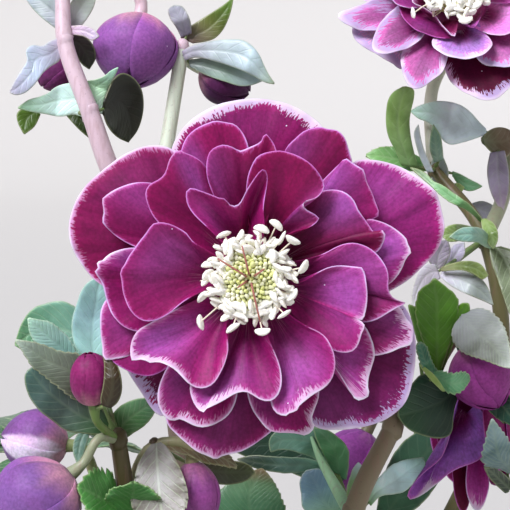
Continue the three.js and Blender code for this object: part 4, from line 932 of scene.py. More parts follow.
BACK_RINGS = [
    # ring, directions, reach, width and look
    ("sepal", (8, 72, 136), 29, 28, dict(rim=1.8, shade=0.4, corner=0.03)),
    ("outer", (20, 75, 135), 26, 19, dict(rim=1.2, shade=0.9, corner=0.07, painted_sheen=0.7)),
    ("middle", (40, 95, 150), 22, 15, dict(rim=0.8, shade=0.9, corner=0.07, painted_sheen=0.7)),
    ("inner", (15, 70, 125, 175), 17, 12, dict(rim=0.8, shade=0.8, corner=0.05, painted_sheen=0.4)),
]
PINK_WASH, LILAC_WASH = ("#ac6c9c", 0.85), ("#b394d8", 0.85)
BACK_OUTLINES = {
    "sepal": [
        dict(at=200, rim=4.5, shade=0.2, ridge=(0, 1), painted_sheen=(0, 0.8, 0.5, 0.3), snow=(0, 0.5, 0.4),
             wash=("#d9cfd2", 0.9),
             points="150,268 125,264 108,258 102.5,251 102.5,244 106,236 112,230 121,225.5 133,220 "
             "142,215 150,209.5 158,212 170,228 182,248"),
        dict(at=288, rim=1.6, shade=0.1, ridge=(0, 1), painted_sheen=(0, 0.8, 0.5, 0), snow=(0.1, 0.4, 0.5),
             painted_light=0.45,
             points="190,230 193,217 196,207 200,198.5 206,191 214,184.5 224,179.5 236,177 245,179 "
             "253,184.5 261,192 270,202 278,216 278,232 265,248"),
    ],
    "outer": [
        dict(at=187, rim=2.2, shade=0.9, ridge=(0, 1.6), painted_sheen=(0, 0.6, 0.5, 0.15), snow=(0, 0.3, 0.9),
             wash=PINK_WASH,
             points="172,290 155,289 140,285 128,280 116,274 102,269 92,265.5 87.5,260.5 93,255 "
             "103,250.5 116,247.5 134,248 155,254 175,264"),
        dict(at=245, rim=1.8, shade=0.9, ridge=(0, 1.2), painted_sheen=(0, 0.7, 0.5, 0.1), snow=(0, 0.3, 0.8),
             wash=PINK_WASH,
             points="170,250 158,236 152,226 150.5,218 152,209 154,201 158,193.5 164,189 170,190.5 "
             "178,195 186,200 192,205 195,212 197,222 200,234 202,246"),
        dict(at=213, lift=1.4, rim=2.2, shade=0.9, ridge=(0, 1.6), painted_sheen=(0, 0.6, 0.5, 0.1),
             snow=(-0.1, 0.5, 0.5), wash=PINK_WASH, pleat=(0.25, 0.8, 0.16),
             points="158,284 146,272 136,262 129,253 125,245 122.5,237 122,230.5 125,225 131,222 "
             "141,223 151,226.5 161,231.5 169,238 177,248 186,258"),
        dict(at=316, lift=0.4, rim=1.6, shade=0.8, ridge=(0, 1.2), painted_sheen=(0, 0.8, 0.5, 0.2),
             snow=(-0.2, 0.5, 0.6), wash=PINK_WASH,
             points="220,248 223,230 228,219 236,214.5 246,212.5 258,210.5 270,211 282,216 290,226 "
             "292,240 285,254 265,266"),
    ],
    "middle": [
        dict(at=277, lift=0.4, rim=1.5, shade=0.9, ridge=(0, 1.4), painted_sheen=(0, 0.9, 0.6, 0.2),
             snow=(-0.1, 0.5, 0.5), wash=LILAC_WASH,
             points="196,260,-1.5 188,248,-1 182,238 183,231 189,224.5 197,220.5 207,218 217,217.5 "
             "226,219 234,223 240,229.5 242,236 239,242 232,250 226,260"),
        # painted light: this petal's pale pink wash brightens it against the shade it lies in
        dict(at=332, lift=0.2, rim=1.2, shade=0.9, ridge=(-0.2, 1.2), painted_sheen=(-0.2, 0.9, 0.5, 0.6),
             snow=(0, 0.6, 0.2), wash=("#ffa8f0", 0.9),
             points="222,258 226,251 233,247 240,243 248,241.5 258,243 268,248 274,258 274,272 266,284 "
             "250,290 232,290"),
        dict(at=212, lift=0.6, rim=0.3, shade=0.6, ridge=(0.2, 1.2), painted_sheen=(0.3, 0.8, 0.4, 0.4),
             snow=(0, 0.6, 0), painted_light=0.8,
             points="180,290 166,289 155,283 149,273 151,263 158,254 169,247 182,242 194,240 202,242 "
             "203,250"),
    ],
    "inner": [
        dict(at=226, rim=1.1, shade=0.1, ridge=(0, -0.8), painted_sheen=(0, 0.9, 0.8, 0.2), snow=(0, 0.8, 0.2),
             painted_light=0.8,
             points="188,292 174,288 162,282 162,277 171,273.5 179,270 184.5,265 189,258 194,251 "
             "199,246 203.5,242.5 206,248 208,258"),
        dict(at=292, rim=0.3, shade=0.8, ridge=(0, 0.6), painted_sheen=(0, 0.8, 0.5, 0.8), snow=(0, 0.6, 0.1),
             wash=("#aa6498", 0.6),
             points="212,264 214,258 218,253 222.5,249 226,253 230,261 231,269"),
    ],
}
BACK_AT = seen(44, 59.6, 62)
BACK_OUT = unit(OUT + UP * 0.5 - RIGHT * 0.08)
NODDING_AT = seen(48.4, -23.4, 54)
NODDING_OUT = unit(vec(-0.2, -0.3, -0.93))
NODDING_FOOT = -4.6
NODDING_BELL = [
    # direction, reach, length and width
    (8, 12, 18, 15), (150, 5, 15, 10), (196, 6, 17, 12),
    (236, 11, 20, 17), (290, 12, 20, 17), (335, 12, 18, 16),
]
NODDING_OUTLINES = {
    "inner": [
        dict(at=237, lift=4, rim=0.5, shade=1, ridge=(0.2, 1.5), painted_sheen=(0, 0.9, 0.4, 0.3),
             snow=(0.05, 0.1, 3), wash=("#a070c8", 0.9), pleat=(-0.55, 1.6, 0.13),
             points="208,-121 204,-134 201,-146 199,-158 196,-169 191,-180 183,-187 174,-194 166,-202 "
             "160,-210 157,-216.5 158.5,-220.5 165,-219 173,-214.5 181,-208.5 189,-202.5 "
             "197,-196 206,-190.5 215,-187 224,-183.5 231,-179 235,-168 237,-152 234,-138 "
             "226,-126"),
    ],
    "middle": [
        dict(at=263, rim=0.3, shade=0, ridge=(0, 1.2), painted_sheen=(0, 0.7, 0.5, 0), snow=(0, 0.5, 0), painted_light=0.6,
             points="206,-142 203,-167 202,-192 203,-206 204.5,-219 208,-229 212.5,-234 217,-229 "
             "219.5,-219 221,-202 223,-177 226,-147"),
        dict(at=276, lift=1.5, rim=0.7, shade=1, painted_light=1.35, ridge=(0, 1.4), painted_sheen=(0, 0.9, 0.4, 0.6),
             snow=(0, 0.12, 1.6),
             points="220,-147 218,-172 216,-192 215,-204 216.5,-215 219.5,-224 223.5,-230.5 "
             "227.5,-232.5 232,-227.5 236,-218 238.5,-207 238,-196 236,-182 235,-152"),
    ],
}


def back_bloom():
    petals = []
    for k, (ring, turns, reach, wide, extra) in enumerate(BACK_RINGS):
        for i, at in enumerate(turns):
            far = reach * (1 + 0.05 * math.sin(GOLDEN * (3 * i + k)))
            petals.append(ring_petal(ring, i + 7 * k, at=at, reach=far, wide=wide, **extra))
    return petals


def nodding_bloom():
    petals = []
    for i, (at, reach, long, wide) in enumerate(NODDING_BELL):
        line = [(2.4, -2.6), (reach * 1.15, long * 0.3), (reach, long)]
        shape = dict(oval=0.4, wave=0.4, corner=0.05, phase=i * GOLDEN, index=i + 40)
        look = dict(shade=0.5, rim=0.5, roll=1.2, cup=0, hug=0.12 * wide)
        petals.append({"at": at, "wide": wide, "line": line, **shape, **look})
    return petals


def lathe(skin, place, profile, sides, tone, trait=(0, 0, 0)):
    """Turns (radius, height) pairs that start and end on the axis into a closed body."""
    profile = np.array(profile, float)
    turn = 2 * np.pi * np.arange(sides) / sides
    ring = np.stack([np.cos(turn), np.sin(turn)], 1)
    inner = profile[1:-1]
    rise = np.broadcast_to(inner[:, None, 1:], (len(inner), sides, 1))
    body = np.concatenate([inner[:, None, :1] * ring[None], rise], -1).reshape(-1, 3)
    points = np.vstack([[[0, 0, profile[0, 1]]], body, [[0, 0, profile[-1, 1]]]])
    faces = []
    last = len(points) - 1
    for i in range(sides):
        j = (i + 1) % sides
        faces.append([0, 1 + j, 1 + i])
        faces.append([last, last - sides + i, last - sides + j])
        for k in range(len(inner) - 1):
            a = 1 + k * sides
            faces.append([a + i, a + j, a + sides + j, a + sides + i])
    skin.add(set_in(points, place), faces, (0, 0.3, 5), tone, trait)


def hub(skin, place, colours):
    profile = [(0, -5.5), (4.4, -5.5), (6.6, -4.6), (8, -2.9), (8, 0.2), (7.2, 1.2), (0, 1.2)]
    lathe(skin, place, profile, 32, colours.petal_deep, (0.2, 0.1, 9))


# ---------------------------------------------------------------- stamens and styles
def turn_to(direction, spin):
    """The rotation that brings +Z along direction, after a spin about it."""
    x, y, z = unit(direction)
    tilt = math.acos(max(-1.0, min(1.0, z)))
    turn = math.atan2(y, x)
    spun = np.array([[math.cos(spin), -math.sin(spin), 0], [math.sin(spin), math.cos(spin), 0], [0, 0, 1]])
    ct, st, ca, sa = math.cos(tilt), math.sin(tilt), math.cos(turn), math.sin(turn)
    tip = np.array([[ct, 0, st], [0, 1, 0], [-st, 0, ct]])
    swing = np.array([[ca, -sa, 0], [sa, ca, 0], [0, 0, 1]])
    return swing @ tip @ spun


def tuft(size, place, colours, seed, strays):
    """Points for the anthers and lines for their filaments: a dense dome, a ring and a few strays."""
    draw = np.random.default_rng(seed)
    at, axes = place
    spots, aims, sizes, tones, lines = [], [], [], [], []

    def anther(point, aim, spin, grown, tone):
        turn = Matrix((axes.T @ turn_to(aim, spin)).tolist())
        spots.append(set_in(point, place))
        aims.append(tuple(turn.to_euler("XYZ")))
        sizes.append(grown)
        tones.append(tone)

    green, cream = np.array(colours.anther_green), np.array(colours.anther_cream)
    closed = 170
    for i in range(closed):
        k = (i + 0.5) / closed
        r = 6.7 * size * k**0.5
        turn = i * GOLDEN
        rise = size * (9.7 - 1.5 * k**1.6) + draw.uniform(-0.3, 0.3)
        point = vec(r * math.cos(turn), r * math.sin(turn), rise)
        aim = vec(math.cos(turn) * k * 0.9, math.sin(turn) * k * 0.9, 1) + draw.normal(0, 0.25, 3)
        tone = lerp(green, cream, np.clip(0.2 + k * 0.5 + draw.uniform(-0.4, 0.4), 0, 1))
        grown = draw.uniform(0.85, 1.15)
        anther(point, aim, draw.uniform(0, 3), (grown * 0.66, grown, grown * 0.5), tone)
    opened = 100
    for i in range(opened):
        turn = i * GOLDEN + draw.uniform(-0.1, 0.1)
        k = (i + 0.5) / opened
        r = size * lerp(5.6, 9.4, k**0.8) + draw.uniform(-0.3, 0.3)
        rise = size * (10.4 - 0.5 * (r / size - 5.6)) + draw.uniform(-1.3, 0.3)
        point = vec(r * math.cos(turn), r * math.sin(turn), rise)
        swing = turn + draw.uniform(-1.7, 1.7)
        aim = vec(math.cos(swing), math.sin(swing), draw.uniform(-0.1, 0.6))
        grown = draw.uniform(0.9, 1.25)
        anther(point, aim, draw.uniform(0, 3), (grown, grown * 0.9, grown), cream)
        foot = vec(4.6 * math.cos(turn), 4.6 * math.sin(turn), 2.6) * size
        bow = 0.82 if i % 3 else 1.12
        knee = vec(bow * point[0], bow * point[1], lerp(foot[2], point[2], 0.6))
        lines.append((set_in(catmull([foot, knee, point], 1.0)[0], place), 0.16, colours.filament))
    for degrees, r, lean in strays:
        turn = math.radians(degrees)
        point = vec(r * math.cos(turn), r * math.sin(turn), draw.uniform(8.0, 10.5)) * size
        swing = turn + math.radians(lean)
        aim = vec(math.cos(swing), math.sin(swing), draw.uniform(0, 0.3))
        anther(point, aim, draw.uniform(0, 3), (1.15, 1.0, 1.2), cream)
        foot = vec(5 * math.cos(turn), 5 * math.sin(turn), 4) * size
        knee = vec(0.7 * point[0], 0.7 * point[1], 8.2 * size)
        lines.append((set_in(catmull([foot, knee, point], 0.8)[0], place), 0.17, colours.filament))
    return (spots, aims, sizes, tones), lines


# direction, distance and lean of the stamens that stand clear of the tuft of the open bloom
STRAYS = [
    (64, 12.8, 78), (42, 12.0, -70), (12, 11.6, 46), (200, 10.6, 20), (221, 14.0, 60),
    (250, 10.9, -35), (283, 11.5, 82), (314, 10.4, 80), (77, 10.9, 85), (121, 10.9, 80),
    (52, 10.8, 10), (338, 9.6, 70),
]


def stamens(name, size, place, sizes, colours, made, seed, strays):
    """The tuft as anthers, the threads that carry them, and the green core that they stand on."""
    node = f"{name}_stamens"
    (spots, aims, grown, tones), lines = tuft(size, place, colours, seed, strays)
    mesh = bpy.data.meshes.new(name)
    mesh.from_pydata((np.array(spots) * MM).tolist(), [], [])
    mark(mesh, "aim", aims)
    mark(mesh, "grown", grown)
    mark(mesh, "tone", tones)
    piece = grow(f"{name}_anthers", mesh, anther_tree(), Length=sizes.anther, Material=made["anther"])
    settle(piece, "stamen", node)
    threads = lines_mesh(name, lines)
    piece = grow(f"{name}_filaments", threads, tube_tree(), Sides=5, Material=made["anther"])
    settle(piece, "stamen", node)
    core = Skin()
    profile = [(0, 1.6), (5.4, 1.6), (6.6, 4.4), (6.3, 6.0), (4.8, 7.6), (2.6, 8.4), (0, 8.6)]
    lathe(core, place, [(r * size, z * size) for r, z in profile], 24, colours.anther_green)
    settle(core.build(f"{name}_core", made["anther"]), "stamen", node)


def styles(name, size, place, colours, made, directions):
    """Thin styles that rise from the middle of the bloom and lean out."""
    lines = []
    for degrees, reach, rise in directions:
        turn = math.radians(degrees)
        out = vec(math.cos(turn), math.sin(turn), 0)
        foot = out * 0.6 + vec(0, 0, 8.2 * size)
        knee = out * 1.8 + vec(0, 0, rise)
        tip = out * reach + vec(0, 0, rise + 0.3)
        end = out * (reach + 0.6) + vec(0, 0, rise - 0.1)
        line, k = catmull([foot, knee, tip, end], 0.5)
        lines.append((set_in(line, place), lerp(0.26, 0.16, k), colours.style))
    label = f"{name}_thin_styles"
    piece = grow(label, lines_mesh(label, lines), tube_tree(), Sides=8, Material=made["stem"])
    settle(piece, "style", f"{name}_styles")


# ---------------------------------------------------------------- buds
BUDS = {
    # foot, direction, width, length and colour, then what differs from a plain bud
    # painted highlight: the upright bud's tone is lightened towards the highlight on it
    "upright_bud": (seen(-33.6, -27, 5), (-0.1, -0.1, 1), 8, 11.5, "#7a1a50", dict(blunt=0.42)),
    "nodding_bud_left": (seen(-38.6, -42, 8), (-0.8, -0.25, -0.62), 18, 20, "#7c5a98",
                         dict(painted_sheen=0.15, flush=0.8)),
    "nodding_bud_far": (seen(-39.4, -36, 30), (-0.96, 0.1, 0.12), 13, 15.5, "#6c5484",
                        dict(painted_sheen=0.2, band=0.9, flush=0.7)),
    "nodding_bud_low": (seen(-12.6, -39.4, 20), (0.14, -0.1, -1), 9, 16, "#94508e", dict(painted_sheen=0.3)),
    # painted light: this bud's tone is lightened against the shade it stands in
    "nodding_bud_right": (seen(46.6, -14.4, 38.5), (0.42, -0.35, -0.84), 14, 16.5, "#8a2870", dict(painted_sheen=0.5)),
    "nodding_bud_behind": (seen(25, -33, 66), (-0.45, -0.1, -0.85), 13, 16, "#8a4a92", dict(flush=0)),
    "nodding_bud_high": (seen(-23.8, 56.4, 66), (-0.1, -0.4, -0.9), 18, 19, "#8c5c9e",
                         dict(painted_sheen=0.15, flush=0.9)),
    "small_bud_high": (seen(-39, 47.5, 68), (-0.55, -0.2, -0.6), 9, 10, "#5e2550", {}),
    "hooded_bud_high": (seen(-10.5, 45, 68), (0.8, -0.2, -0.4), 10.5, 13.5, "#3a1838", {}),
}


def bud(skin, place, wide, long, tone, index, thickness, blunt=0.65, band=0, flush=0.5, painted_sheen=0.1):
    """A closed bud: five sepals wrapped round an egg, each with one side over its neighbour.

    flush pales its foot towards pink, and band is a pale streak down the side that faces the eye."""

    def girth(k):
        return (wide / 2) * np.sin(np.pi * k**0.9) ** blunt

    toward = place[1] @ (EYE - vec(0, 0, 160) - place[0])
    facing = math.atan2(toward[1], toward[0])

    core = [(girth(x) * 0.96, x * long * 0.98) for x in np.linspace(0, 1, 22)]
    core[0], core[-1] = (0, 0), (0, long * 0.98)
    lathe(skin, place, core, 28, tone, (0.05, 0.1, index))
    rows, cols = 26, 16
    s = np.linspace(0, 1, rows + 1)[:, None]
    t = np.linspace(-1, 1, cols + 1)[None, :]
    for i in range(5):
        k = 0.015 + 0.97 * s * (1 - 0.12 * np.abs(t) ** 2.5)
        turn = np.radians(72 * i + 40 * s + 13 * math.sin(i * GOLDEN)) + t * np.radians(lerp(60, 38, s**2))
        ride = 0.02 * wide + 0.055 * wide * (t * 0.5 + 0.5) * np.sin(np.pi * s**0.8) ** 0.5
        r = girth(k) + ride * np.minimum(1, 6 * (1 - k)) + 0.1 * np.cos(t * 20) * np.sin(np.pi * s)
        grid = np.stack([r * np.cos(turn), r * np.sin(turn), k * long], -1)
        # rows run up the bud and columns round it, so the outer face follows the same order
        margin = margin_of(grid)
        way = np.stack([t + 0 * r, s * 0.7 + 0.25 + 0 * r, margin + 0.5], -1)
        grid = grid[:, ::-1]
        way = way[:, ::-1]
        waves = 0.05 * np.sin(7 * turn + index) + 0.03 * np.sin(17 * turn + 2 * index)
        pale = flush * smooth(0.4, 0.02, k + waves)
        light = band * smooth(0.87, 0.94, np.cos(turn - facing)) * smooth(0.05, 0.2, k + waves)
        flushed = np.array(tone)
        for code, share in (("#dba8a8", pale), ("#efe9f4", light)):
            flushed = lerp(flushed, np.array(linear(code)), share[:, ::-1, None])
        thick = thickness * lerp(0.4, 1, smooth(0, 1, margin[:, ::-1]))
        # painted sheen: the bud's first trait paints a lilac sheen over it
        skin.sheet(set_in(grid, place), thick, way, flushed, (painted_sheen, 0.03, index * 2.3 + i))


# ---------------------------------------------------------------- leaves
def blade_grid(start, end, face, wide, arch, teeth=9, depth=0.1, fold=0.12, ripple=0.08, blunt=0.8, phase=0):
    """A toothed blade from start to end: its middle surface, and mm across and along it."""
    # each row is a share of the length, how deep the edge is cut there and how far it leans on
    rows = [(share, 0, 0) for share in (0, 0.05, 0.1, 0.16, 0.22)]
    ends = [0.22 + 0.77 * (i / teeth) ** 0.94 + 0.012 * math.sin(5 * i + phase) for i in range(teeth + 1)]
    ends[0], ends[-1] = 0.22, 0.22 + 0.77
    for i, (low, high) in enumerate(zip(ends, ends[1:])):
        wave = 1 + 0.4 * math.sin(3.7 * i + phase)
        for share, cut, forward in ((0.1, 1, 0), (0.45, 0.6, 0.05), (0.8, 0.18, 0.15), (0.96, 0, 0.3)):
            rows.append((lerp(low, high, share), cut * depth * wave, forward * (high - low)))
    rows.append((1, 0, 0))
    s, cut, ahead = np.array(rows, float).T[..., None]
    t = np.linspace(-1, 1, 15)[None, :]
    t = np.sign(t) * np.abs(t) ** 0.85
    up = unit(np.array(face, float))
    length = np.linalg.norm(end - start)
    bend = lerp(start, end, 0.5) + up * 2 * arch
    centre = (1 - s) ** 2 * start + 2 * s * (1 - s) * bend + s * s * end
    tangent = unit(2 * (1 - s) * (bend - start) + 2 * s * (end - bend))
    side = unit(np.cross(up, tangent))
    normal = np.cross(tangent, side)
    swell = np.sin(np.pi * np.clip(s, 1e-4, 1 - 1e-4) ** 1.3) ** blunt
    reach = (wide / 2) * (swell + 0.16 * (1 - s) ** 3 + 0.012)
    x = reach * t * (1 - cut * np.abs(t) ** 6)
    spacing = length * 0.77 / max(teeth, 5) * 1.35
    q = s * length - np.abs(x) * 1.15
    gap = np.abs((q / spacing) % 1 - 0.5) * spacing
    edge = np.abs(t) ** 3
    waves = np.sin(2 * np.pi * 2.6 * s + phase + (t > 0) * 2.1)
    z = fold * np.abs(x) + ripple * reach * waves * np.abs(t) ** 2
    z = z - 0.16 * bell(gap, 0.3 + spacing * 0.12) * (1 - edge) * np.minimum(1, reach / 3)
    z = z - 0.25 * bell(x, 0.5)
    shove = ahead * length * np.abs(t) ** 6
    grid = centre[:, None] + side[:, None] * x[..., None] + normal[:, None] * z[..., None]
    grid = grid + tangent[:, None] * shove[..., None]
    return grid, x, s * length + 0 * x, spacing


def add_blade(skin, start, end, face, wide, arch, tone, thickness, veins=0.3, silver=0, **shape):
    """Adds a toothed blade from start to end whose upper side looks along face."""
    grid, x, length, spacing = blade_grid(start, end, face, wide, arch, **shape)
    margin = margin_of(grid)
    thick = thickness * (lerp(0.5, 1, smooth(0, 0.8, margin)) + 0.7 * bell(x, 0.7))
    way = np.stack([x, length, margin], -1)
    skin.sheet(grid, thick, way, linear(tone), (veins, spacing, silver), rim=0.1)


def tones_along(codes, s):
    """The colours at shares s of the way along a row of evenly spaced colours."""
    tones = np.array([linear(code) for code in codes.split()])
    return np.stack([np.interp(s, np.linspace(0, 1, len(tones)), tones[:, k]) for k in range(3)], -1)


def drawn_side(points, s):
    """The points at shares s of the way along one side of a leaf."""
    line, _ = catmull([(x * STEP, y * STEP) for x, y in points], 0.4)
    run = np.concatenate([[0], np.cumsum(np.linalg.norm(np.diff(line, axis=0), axis=1))])
    return np.stack([np.interp(s * run[-1], run, line[:, k]) for k in (0, 1)], -1)


def add_drawn(skin, leaf, thickness, phase):
    """A blade between its left and right sides as they are seen, each drawn from foot to tip."""
    teeth, notch = leaf["teeth"], leaf["notch"]
    s = np.linspace(0.01, 0.985, 5 * teeth + 2)
    left, right = read_points(leaf["left"]), read_points(leaf["right"])
    left, right = drawn_side(left, s), drawn_side([*right, left[-1]], s)
    t = np.linspace(-1, 1, 15)[None, :, None]
    middle = lerp(left, right, 0.5)[:, None]
    tooth = 1 - notch * (1 - (s * teeth + 0.1 * np.sin(9 * s + phase)) % 1)[:, None, None] * np.abs(t) ** 6
    flat = middle + (left - right)[:, None] / 2 * t * tooth
    half = np.linalg.norm(left - right, axis=-1)[:, None] / 2
    x = half * t[..., 0]
    steps = np.linalg.norm(np.diff(middle[:, 0], axis=0), axis=1)
    run = np.concatenate([[0], np.cumsum(steps)])[:, None] + 0 * x
    spacing = run[-1, 0] / max(teeth, 5)
    gap = np.abs(((run - np.abs(x) * 1.15) / spacing) % 1 - 0.5) * spacing
    edge = np.abs(t[..., 0]) ** 3
    lift = leaf["fold"] * np.abs(x) - 0.2 * bell(x, 0.5) + leaf["curl"] * half * edge
    groove = min(0.14, 1.4 * leaf["veins"]) * bell(gap, 0.3 + spacing * 0.12)
    lift = lift - groove * (1 - edge) * np.minimum(1, half / 3)
    share = run / run[-1, 0]
    lift = lift + 0.06 * half * np.sin(14 * share + phase + (t[..., 0] > 0) * 2) * t[..., 0] ** 2
    back = np.interp(share, np.linspace(0, 1, len(leaf["back"])), leaf["back"])
    grid = seen(flat[..., 0], flat[..., 1], back - lift)
    margin = margin_of(grid)
    thick = thickness * (lerp(0.5, 1, smooth(0, 0.8, margin)) + 0.6 * bell(x, 0.6))
    tone = np.broadcast_to(tones_along(leaf["tones"], s)[:, None], grid.shape)
    way = np.stack([x, run, margin], -1)
    skin.sheet(grid, thick, way, tone, (leaf["veins"], spacing, leaf["silver"]), rim=0.1)
    return grid[0, 7]


# notch is how deep the teeth are, fold lifts both sides of the midrib and curl lifts the edges,
# veins is how pale the veins are and silver how waxy the leaf is
PLAIN_LEAF = dict(teeth=8, notch=0, veins=0.15, fold=0.12, curl=0, silver=0.1)


def drawn(node, back, tones, left, right, **look):
    """A leaf joined to a node, with how far back it lies and its colours from foot to tip.

    Its left side ends at the tip, and its right side at the last point before the tip."""
    return dict(PLAIN_LEAF, node=node, back=back, tones=tones, left=left, right=right, **look)


# ---------------------------------------------------------------- stems
CROWN_TOP = 140
ROOTING = 24


def foot(x, y):
    return [vec(x, y, CROWN_TOP - ROOTING), vec(x, y, CROWN_TOP + 4)]


def bud_stalk(name, points, radii, tone):
    at, out = BUDS[name][:2]
    return [*points, along(at, out, -3.5), along(at, out, 0.4)], radii, tone


def bloom_stalk(at, out, depth, straight, points, radii, tone):
    return [*points, along(at, out, -straight), along(at, out, depth + 0.3)], radii, tone


FORK_FRONT, LOW_FORK_FRONT, ARCH_FRONT = seen(30.6, -32, 34), seen(22, -51, 34), seen(44, -12.6, 46)
FORK_LEFT, LOW_FORK_LEFT, ARCH_LEFT = seen(-28.4, -34.8, 14), seen(-25.8, -52, 18), seen(-20.6, -36, 21)
FORK_BACK, FORK_HIGH, HIGH_NODE = seen(-22, 6, 56), seen(-34.4, 35.5, 50), seen(-39.8, 50.5, 53)
TOP_HIGH, TOP_PALE = seen(-40.4, 60, 56), seen(-14.6, 49.5, 64)
FORK_RIGHT, HIGH_FORK_RIGHT, FAR_FORK_RIGHT = seen(50.4, 8.4, 76), seen(39.5, 23.5, 84), seen(56, 29, 100)
LOBE_NODE, LOW_NODE_RIGHT = seen(37.5, -23.5, 42), seen(53, -26, 74)
BUD_FOOT = along(*BUDS["upright_bud"][:2], -1)
BROWN, RED, PINK, PALE, GREEN = "#7d7a5c", "#7a4f4a", "#dcc3cb", "#dfead2", "#8a9a62"
FRONT_LEAVES = [
    drawn(LOBE_NODE, (41.4, 38.6, 36), "#46700f #4c8410 #548c16",
          "181,-94 173,-77 166,-60 162,-44 158.5,-31 158,-26",
          "188,-94 186,-74 180,-57 174,-42 167,-30", teeth=6, notch=0.06, veins=0.03, fold=0, silver=0),
    drawn(LOBE_NODE, (41.4, 38.6, 35), "#46700f #4c8410 #548c16",
          "187,-94 189,-74 193,-57 198,-42 205,-31 211,-25 218.5,-25",
          "192,-94 199,-77 205,-62 213,-45 219.5,-33", teeth=6, notch=0.08, veins=0.03, fold=0, silver=0),
    drawn(LOBE_NODE, (40.6, 37.4, 33), "#4a7a14 #4f8a10 #5a9418",
          "184,-94 176,-74 170,-57 165.5,-42 164.5,-30 166,-20 169,-12 174,-8 179,-5 183.7,0.5",
          "190,-94 197,-74 203,-57 207,-42 208.5,-30 208,-21 204,-15 197,-9.5 190,-4",
          teeth=10, notch=0.06, veins=0.06, fold=0, silver=0),
    drawn(ARCH_FRONT, (36, 27, 20), "#8d8f94 #8b9282 #95a08e",
          "213,-36 220,-32 230,-29.5 240,-32.5 248,-39 255,-50 259,-64 260.5,-78 262,-90",
          "211,-38 205,-45 201,-54 201.5,-61 205,-68 213,-75 223,-79 234,-82.5 244,-86 253,-89",
          teeth=16, notch=0.07, veins=0.14, fold=0.05, silver=0.3),
    drawn(LOBE_NODE, (34, 28, 30), "#2f8a5c #2f7a58 #3f9068",
          "186,-106 178,-98 171.5,-89 167,-78 165.5,-68 169,-63.5",
          "194,-93 187.5,-91.5 183,-85 179.5,-76 176,-67", teeth=9, notch=0.22, curl=0.3),
    drawn(LOBE_NODE, (30, 24, 28), "#45a060 #55a868 #3f9450",
          "184,-94 190,-92 196,-93 204,-94 213,-92.5 218.5,-96 219.5,-101",
          "182,-100 188,-107 194,-113 200,-116.5 206,-116.5 212,-113.5 216,-108",
          teeth=9, notch=0.22, curl=0.3, silver=0.15),
    drawn(LOBE_NODE, (29, 24), "#a8cc50 #9cc458",
          "170,-85 177,-91 183,-96 188,-102 193,-110 194.5,-113",
          "169,-86 175,-95 181,-102 187,-108 192,-112.5", teeth=5, veins=0.05),
    drawn(LOBE_NODE, (38, 34, 30), "#1a3424 #20402e #2a5a30",
          "206,-120 203,-137 200,-156 188,-160 174,-157.5 162,-153 154,-147 147,-137",
          "206,-107 195,-99 182,-95 170,-97 160,-108 152,-120", teeth=6, notch=0.01, veins=0.03, silver=0),
    drawn(LOW_FORK_FRONT, (54, 50, 50), "#a8dcb8 #5f9a80 #4f7c60",
          "74,-188 62,-179 50,-175 40,-172 30,-171.5 20,-174",
          "95,-200 98,-184 96,-170 88,-160 75,-152 58,-151 40,-151 25,-154 19,-162",
          notch=0.02, veins=0.06, fold=0),
    drawn(LOW_FORK_FRONT, (53, 49.5, 49.5), "#4a8a5a #3f8a48 #5f9a70",
          "81,-192 74,-178 67,-164 62,-149",
          "96,-202 98.5,-184 97.5,-170 88,-159 76,-151.5", teeth=5, notch=0.05, veins=0.05),
    drawn(LOW_FORK_FRONT, (55, 55, 57), "#8ccaa8 #5f8c7a #3c5848 #2a3c2c",
          "76,-200 64,-193 50,-194 35,-195 20,-193 5,-190 -14,-181",
          "74,-185 56,-180 40,-179 20,-178 2,-177", notch=0.05, veins=0.06, fold=0),
    drawn(LOW_FORK_FRONT, (60, 63, 66), "#2f5a40 #2a4a38 #22382c",
          "80,-222 62,-204 45,-196 25,-188 5,-182 -14,-174",
          "94,-202 90,-177 75,-158 50,-148 20,-146 0,-154", veins=0.02, fold=0, silver=0),
    drawn(LOW_FORK_FRONT, (60, 74, 84), "#3a6a48 #325a40 #2c4a3c",
          "126,-234 131,-207 141,-180 157,-160 180,-149 203,-145",
          "142,-242 166,-230 184,-210 196,-186 204,-164", notch=0.02, veins=0.04, fold=0, silver=0),
    drawn(LOW_FORK_FRONT, (50, 51, 52), "#7fae88 #5f8898 #6888a0",
          "68,-238 53,-230 51,-216 49.5,-204 52,-197 56,-192",
          "97,-232 91,-214 83,-201 70,-191", notch=0.01, veins=0.05, fold=0),
    drawn(LOW_FORK_FRONT, (40, 42, 44), "#8fc070 #7fb070 #c4dce4",
          "97,-224 96.5,-210 100,-198 103,-190 108,-184",
          "110,-224 114,-210 115,-198 113,-190", teeth=5, notch=0.05, veins=0.03),
    # painted highlight: its pale middle colours paint the white highlight on this leaf
    drawn(LOW_FORK_FRONT, (42, 44, 46), "#6fa05a #e0ffff #d0f8fc #5f9a80",
          "115,-222 124,-206 134,-193 145,-185 158,-181 173,-179",
          "120,-228 130,-218 142,-216 153,-214 162,-206 169,-197 175,-188", teeth=5, notch=0.05, veins=0.05),
    drawn(LOW_FORK_FRONT, (42, 44, 46), "#3f8a50 #4a8a58 #54804c #a08060",
          "-12,-246 -36,-232 -33,-215 -22,-205 -8,-199 4,-192 12,-190",
          "34,-246 36,-231 31,-217 25,-205 18,-196", teeth=10, notch=0.06, veins=0.08, fold=0),
]
